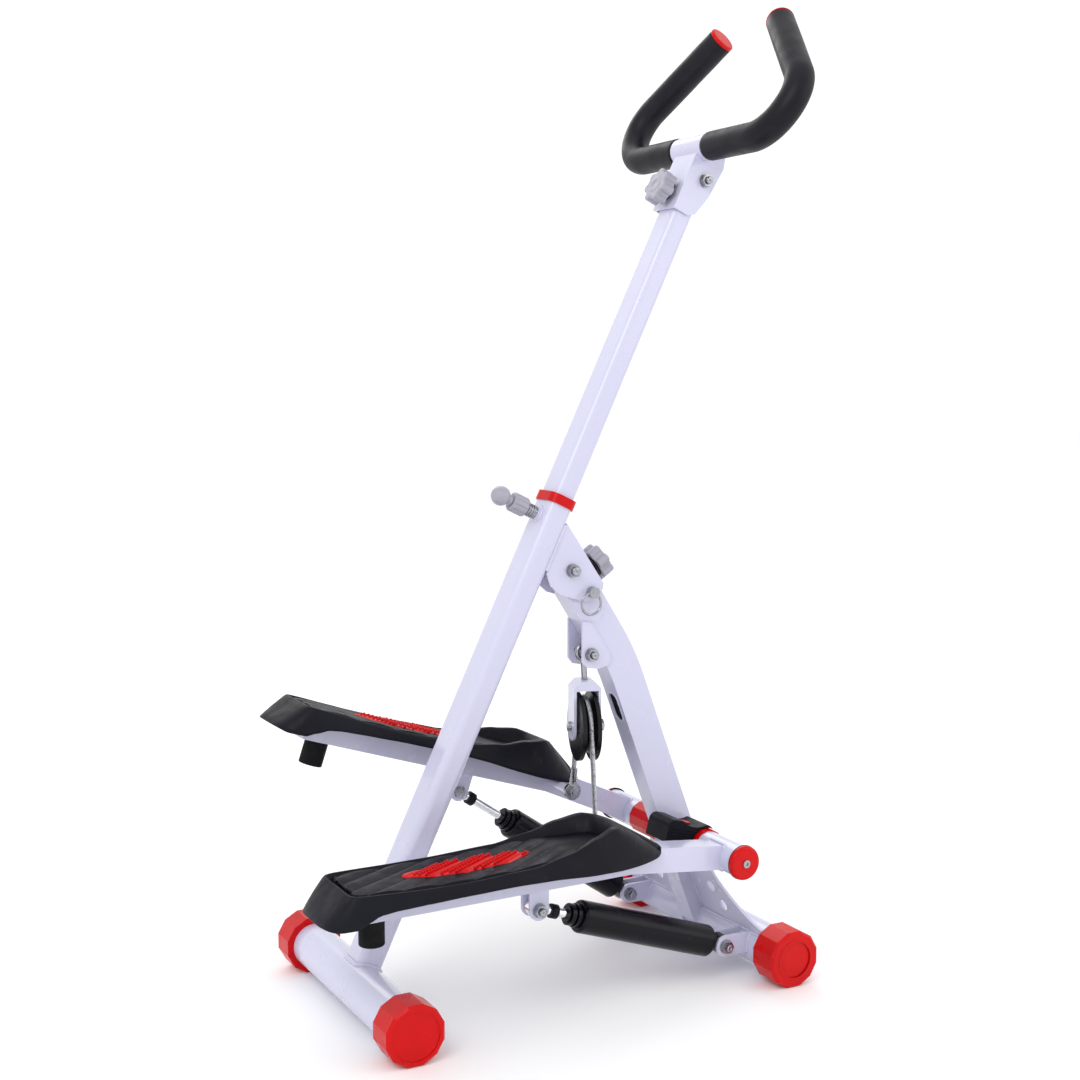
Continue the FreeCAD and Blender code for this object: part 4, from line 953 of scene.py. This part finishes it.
def thread_ends():
    """The nuts all sit on the machine's right, those of the left pedal on its left."""
    out = Vector((0, -1, 0))
    for node, radius, body in (("fold_bolt", 5.0, "mast"), ("tilt_bolt", 4.0, "upper_mast")):
        end = middle(node)
        end.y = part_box(node)[0][1]
        thread_end(node + "_thread", end, out, body, radius)
    thread_end("hanger_thread", at(HANGER_X, -25.5, HANGER_Z), out, "front_frame")
    for side, sign in SIDES:
        tip = at(CLEVIS_X, sign * ARM_Y - BOLT_END, CLEVIS_Z)
        thread_end(side + "_foot_thread", tip, out, "front_frame")
        tip = on_pedal(side, EYE_X, BOLT_END - 0.5, EYE_Z)
        thread_end(side + "_rod_thread", tip, Vector((0, sign, 0)), side + "_pedal")


def cap_lips():
    """Raised ring round the dish of the front foot caps."""
    shape = [(-1.6, 20.6), (0.2, 20.6), (0.7, 21.1), (0.7, 22.4), (0.2, 22.9), (-0.4, 22.9), (-0.4, 20.9)]
    for tag, sign in SIDES:
        turned("front_cap_lip_" + tag, at(FRONT_X, sign * 175.0, FOOT_Z), Vector((0, sign, 0)), shape,
               "red_plastic", "front_frame", 64)


def rod_collars():
    """Black plastic collar on each cylinder rod."""
    shape = [(0, 5.05), (0, 7.3), (0.4, 7.8), (8.4, 7.8), (8.8, 7.3), (8.8, 5.05)]
    from_eye = 27.8077
    for side, sign in SIDES:
        foot = at(CLEVIS_X, sign * ARM_Y, CLEVIS_Z)
        eye = on_pedal(side, EYE_X, 0.0, EYE_Z)
        way = (eye - foot).normalized()
        start = eye - way * (from_eye * MM)
        turned(side + "_rod_collar", start, way, shape, "black_plastic", side + "_rod", 32)


def on_case(u, v, w):
    """A point in the step counter's own frame."""
    tilt = math.radians(15.0)
    along, over = math.cos(tilt), math.sin(tilt)
    return at(390 + u * along + w * over, -45 + v, 157.5 - u * over + w * along)


def case_ribs():
    """Moulded ribs along the near side of the step counter, and its button's ring."""
    for k in range(5):
        w = -7.5 + 3.2 * k
        tube("case_rib_%d" % k, dense([on_case(-29, -21.1, w), on_case(29, -21.1, w)], 3.0), 0.65,
             "black_plastic", "front_frame", 8)
    turns = [math.pi * k / 16 for k in range(32)]
    ring = [on_case(3 + 7.2 * math.cos(turn), 7.2 * math.sin(turn), 10.3) for turn in turns]
    tube("case_button_ring", ring, 0.7, "black_plastic", "front_frame", 8, True)


def slot_lip():
    """Black sheet in the hand slot of the strut's rear wall, painted shade for the slot's dark inside, with a
    rolled edge.
    """
    slot_z, half_run, sides = 303.0, 9.5, 48
    centre = at(STRUT_X - (slot_z - FOOT_Z) * math.tan(STRUT_LEAN) - 20, 0, slot_z)
    rear = -STRUT_OUT

    def outline(reach, depth):
        ring = []
        for k in range(sides):
            turn = 2 * math.pi * (k + 0.5) / sides
            z = reach * math.sin(turn) + math.copysign(half_run, math.sin(turn))
            ring.append(centre + rear * (depth * MM) + STRUT_UP * (z * MM)
                        + Vector((0, reach * MM * math.cos(turn), 0)))
        return ring
    lip = dense(outline(9.1, 1.4), 1.5, True)
    tube("hand_slot_lip", lip, 0.9, "white_paint", "front_frame", 8, True)
    # Black sheet inside the slot: painted shade where the strut's hollow inside lies in shadow.
    shape = [(8.0, -3.2), (8.45, -2.8), (8.45, -0.6), (8.0, -0.3), (7.0, -0.3)]
    rings = [outline(reach, depth) for reach, depth in shape]
    verts = [v for ring in rings for v in ring]
    shade_faces = rings_between(rings) + [tuple(range(sides)), tuple(range(4 * sides, 5 * sides))]
    piece("hand_slot_painted_shade", verts, shade_faces, "black_rubber", "front_frame")


def pivot_rings():
    """Thin black rings between the pedal sleeves and the axle's end caps: painted shade in the gap there."""
    shape = [(0.06, 8.3), (0.06, 19.9), (0.44, 19.9), (0.44, 8.3)]
    for tag, sign in SIDES:
        # Black ring: painted shade of the gap round each end cap.
        turned("pivot_gap_shade_" + tag, at(AXLE_X, sign * 140.0, AXLE_Z), Vector((0, sign, 0)), shape,
               "black_rubber", "front_frame", 48)


fluted_barrel()
DROP = math.atan2(25.6, 44.0)      # slope of the hinge bracket's upper web
ALONG_WEB = 66.7
KNOB_BASE = on_mast(15 + ALONG_WEB * math.cos(DROP), 551 - ALONG_WEB * math.sin(DROP))
KNOB_OUT = (MAST_FRONT * math.sin(DROP) + MAST_UP * math.cos(DROP)).normalized()
knob_details("fold_knob", KNOB_BASE, KNOB_OUT, "fold_knob")
knob_details("tilt_knob", on_mast(-17.0, 949.5), -MAST_FRONT, "tilt_knob")
cap_lips()
rod_collars()
thread_ends()
case_ribs()
slot_lip()
pivot_rings()


# ---- softened edges on the plain CAD nodes -----------------------------------------
SOFT_EDGES = {"hinge_ears": 0.7, "welded_brackets": 0.6, "head_bracket": 0.7, "pulley_block": 0.8,
              "strut_tube": 1.6, "frame_bolts": 0.4, "fold_bolt": 0.4, "tilt_bolt": 0.4,
              "front_foot_caps": 0.8, "rear_foot_caps": 0.8}
for name, width in SOFT_EDGES.items():
    soft = NODES[name].modifiers.new("soft_edges", "BEVEL")
    soft.width = width * MM
    soft.segments = 3
    soft.limit_method = "ANGLE"
    soft.angle_limit = math.radians(32)


# ---- studio --------------------------------------------------------------------
def studio():
    """Pale floor, soft light and the camera at the three-quarter rear view."""
    scene = bpy.context.scene
    scene.view_settings.view_transform = "Standard"
    world = bpy.data.worlds.new("studio")
    scene.world = world
    world.use_nodes = True
    sky = world.node_tree.nodes["Background"]
    sky.inputs["Color"].default_value = (1.0, 1.0, 1.0, 1.0)
    sky.inputs["Strength"].default_value = 1.08

    size = 14.0
    mesh = bpy.data.meshes.new("floor")
    corners = [(-size, -size, 0), (size, -size, 0), (size, size, 0), (-size, size, 0)]
    mesh.from_pydata(corners, [], [(0, 1, 2, 3)])
    floor = bpy.data.objects.new("floor", mesh)
    scene.collection.objects.link(floor)
    ground = Surface("pale_floor", (0.94, 0.94, 0.945), 0.7, Specular_IOR_Level=0.2)
    ground.tint(ground.noise(1.5, 3.0), (0.93, 0.93, 0.937), 0.4, 0.7)
    mesh.materials.append(ground.mat)

    def area(name, spot, aim, width, height, power):
        light = bpy.data.lights.new(name, "AREA")
        light.shape = "RECTANGLE"
        light.size, light.size_y, light.energy = width, height, power
        lamp = bpy.data.objects.new(name, light)
        lamp.location = spot
        lamp.rotation_euler = (Vector(aim) - Vector(spot)).to_track_quat("-Z", "Y").to_euler()
        scene.collection.objects.link(lamp)

    area("key", (-1.9, -1.7, 2.6), (0, 0, 0.4), 1.6, 1.6, 26)
    area("fill", (2.4, -2.2, 1.5), (0, 0, 0.4), 1.8, 1.8, 10)
    area("rim", (0.6, 2.4, 2.2), (0, 0, 0.5), 2.0, 1.2, 16)

    lens = bpy.data.cameras.new("camera")
    lens.sensor_width = 36.0
    lens.lens = 52.98
    camera = bpy.data.objects.new("camera", lens)
    camera.location = at(-612.4, -1563.5, 691.4)
    camera.rotation_euler = (math.radians(83.953), 0.0, math.radians(-28.249))
    scene.collection.objects.link(camera)
    scene.camera = camera


studio()
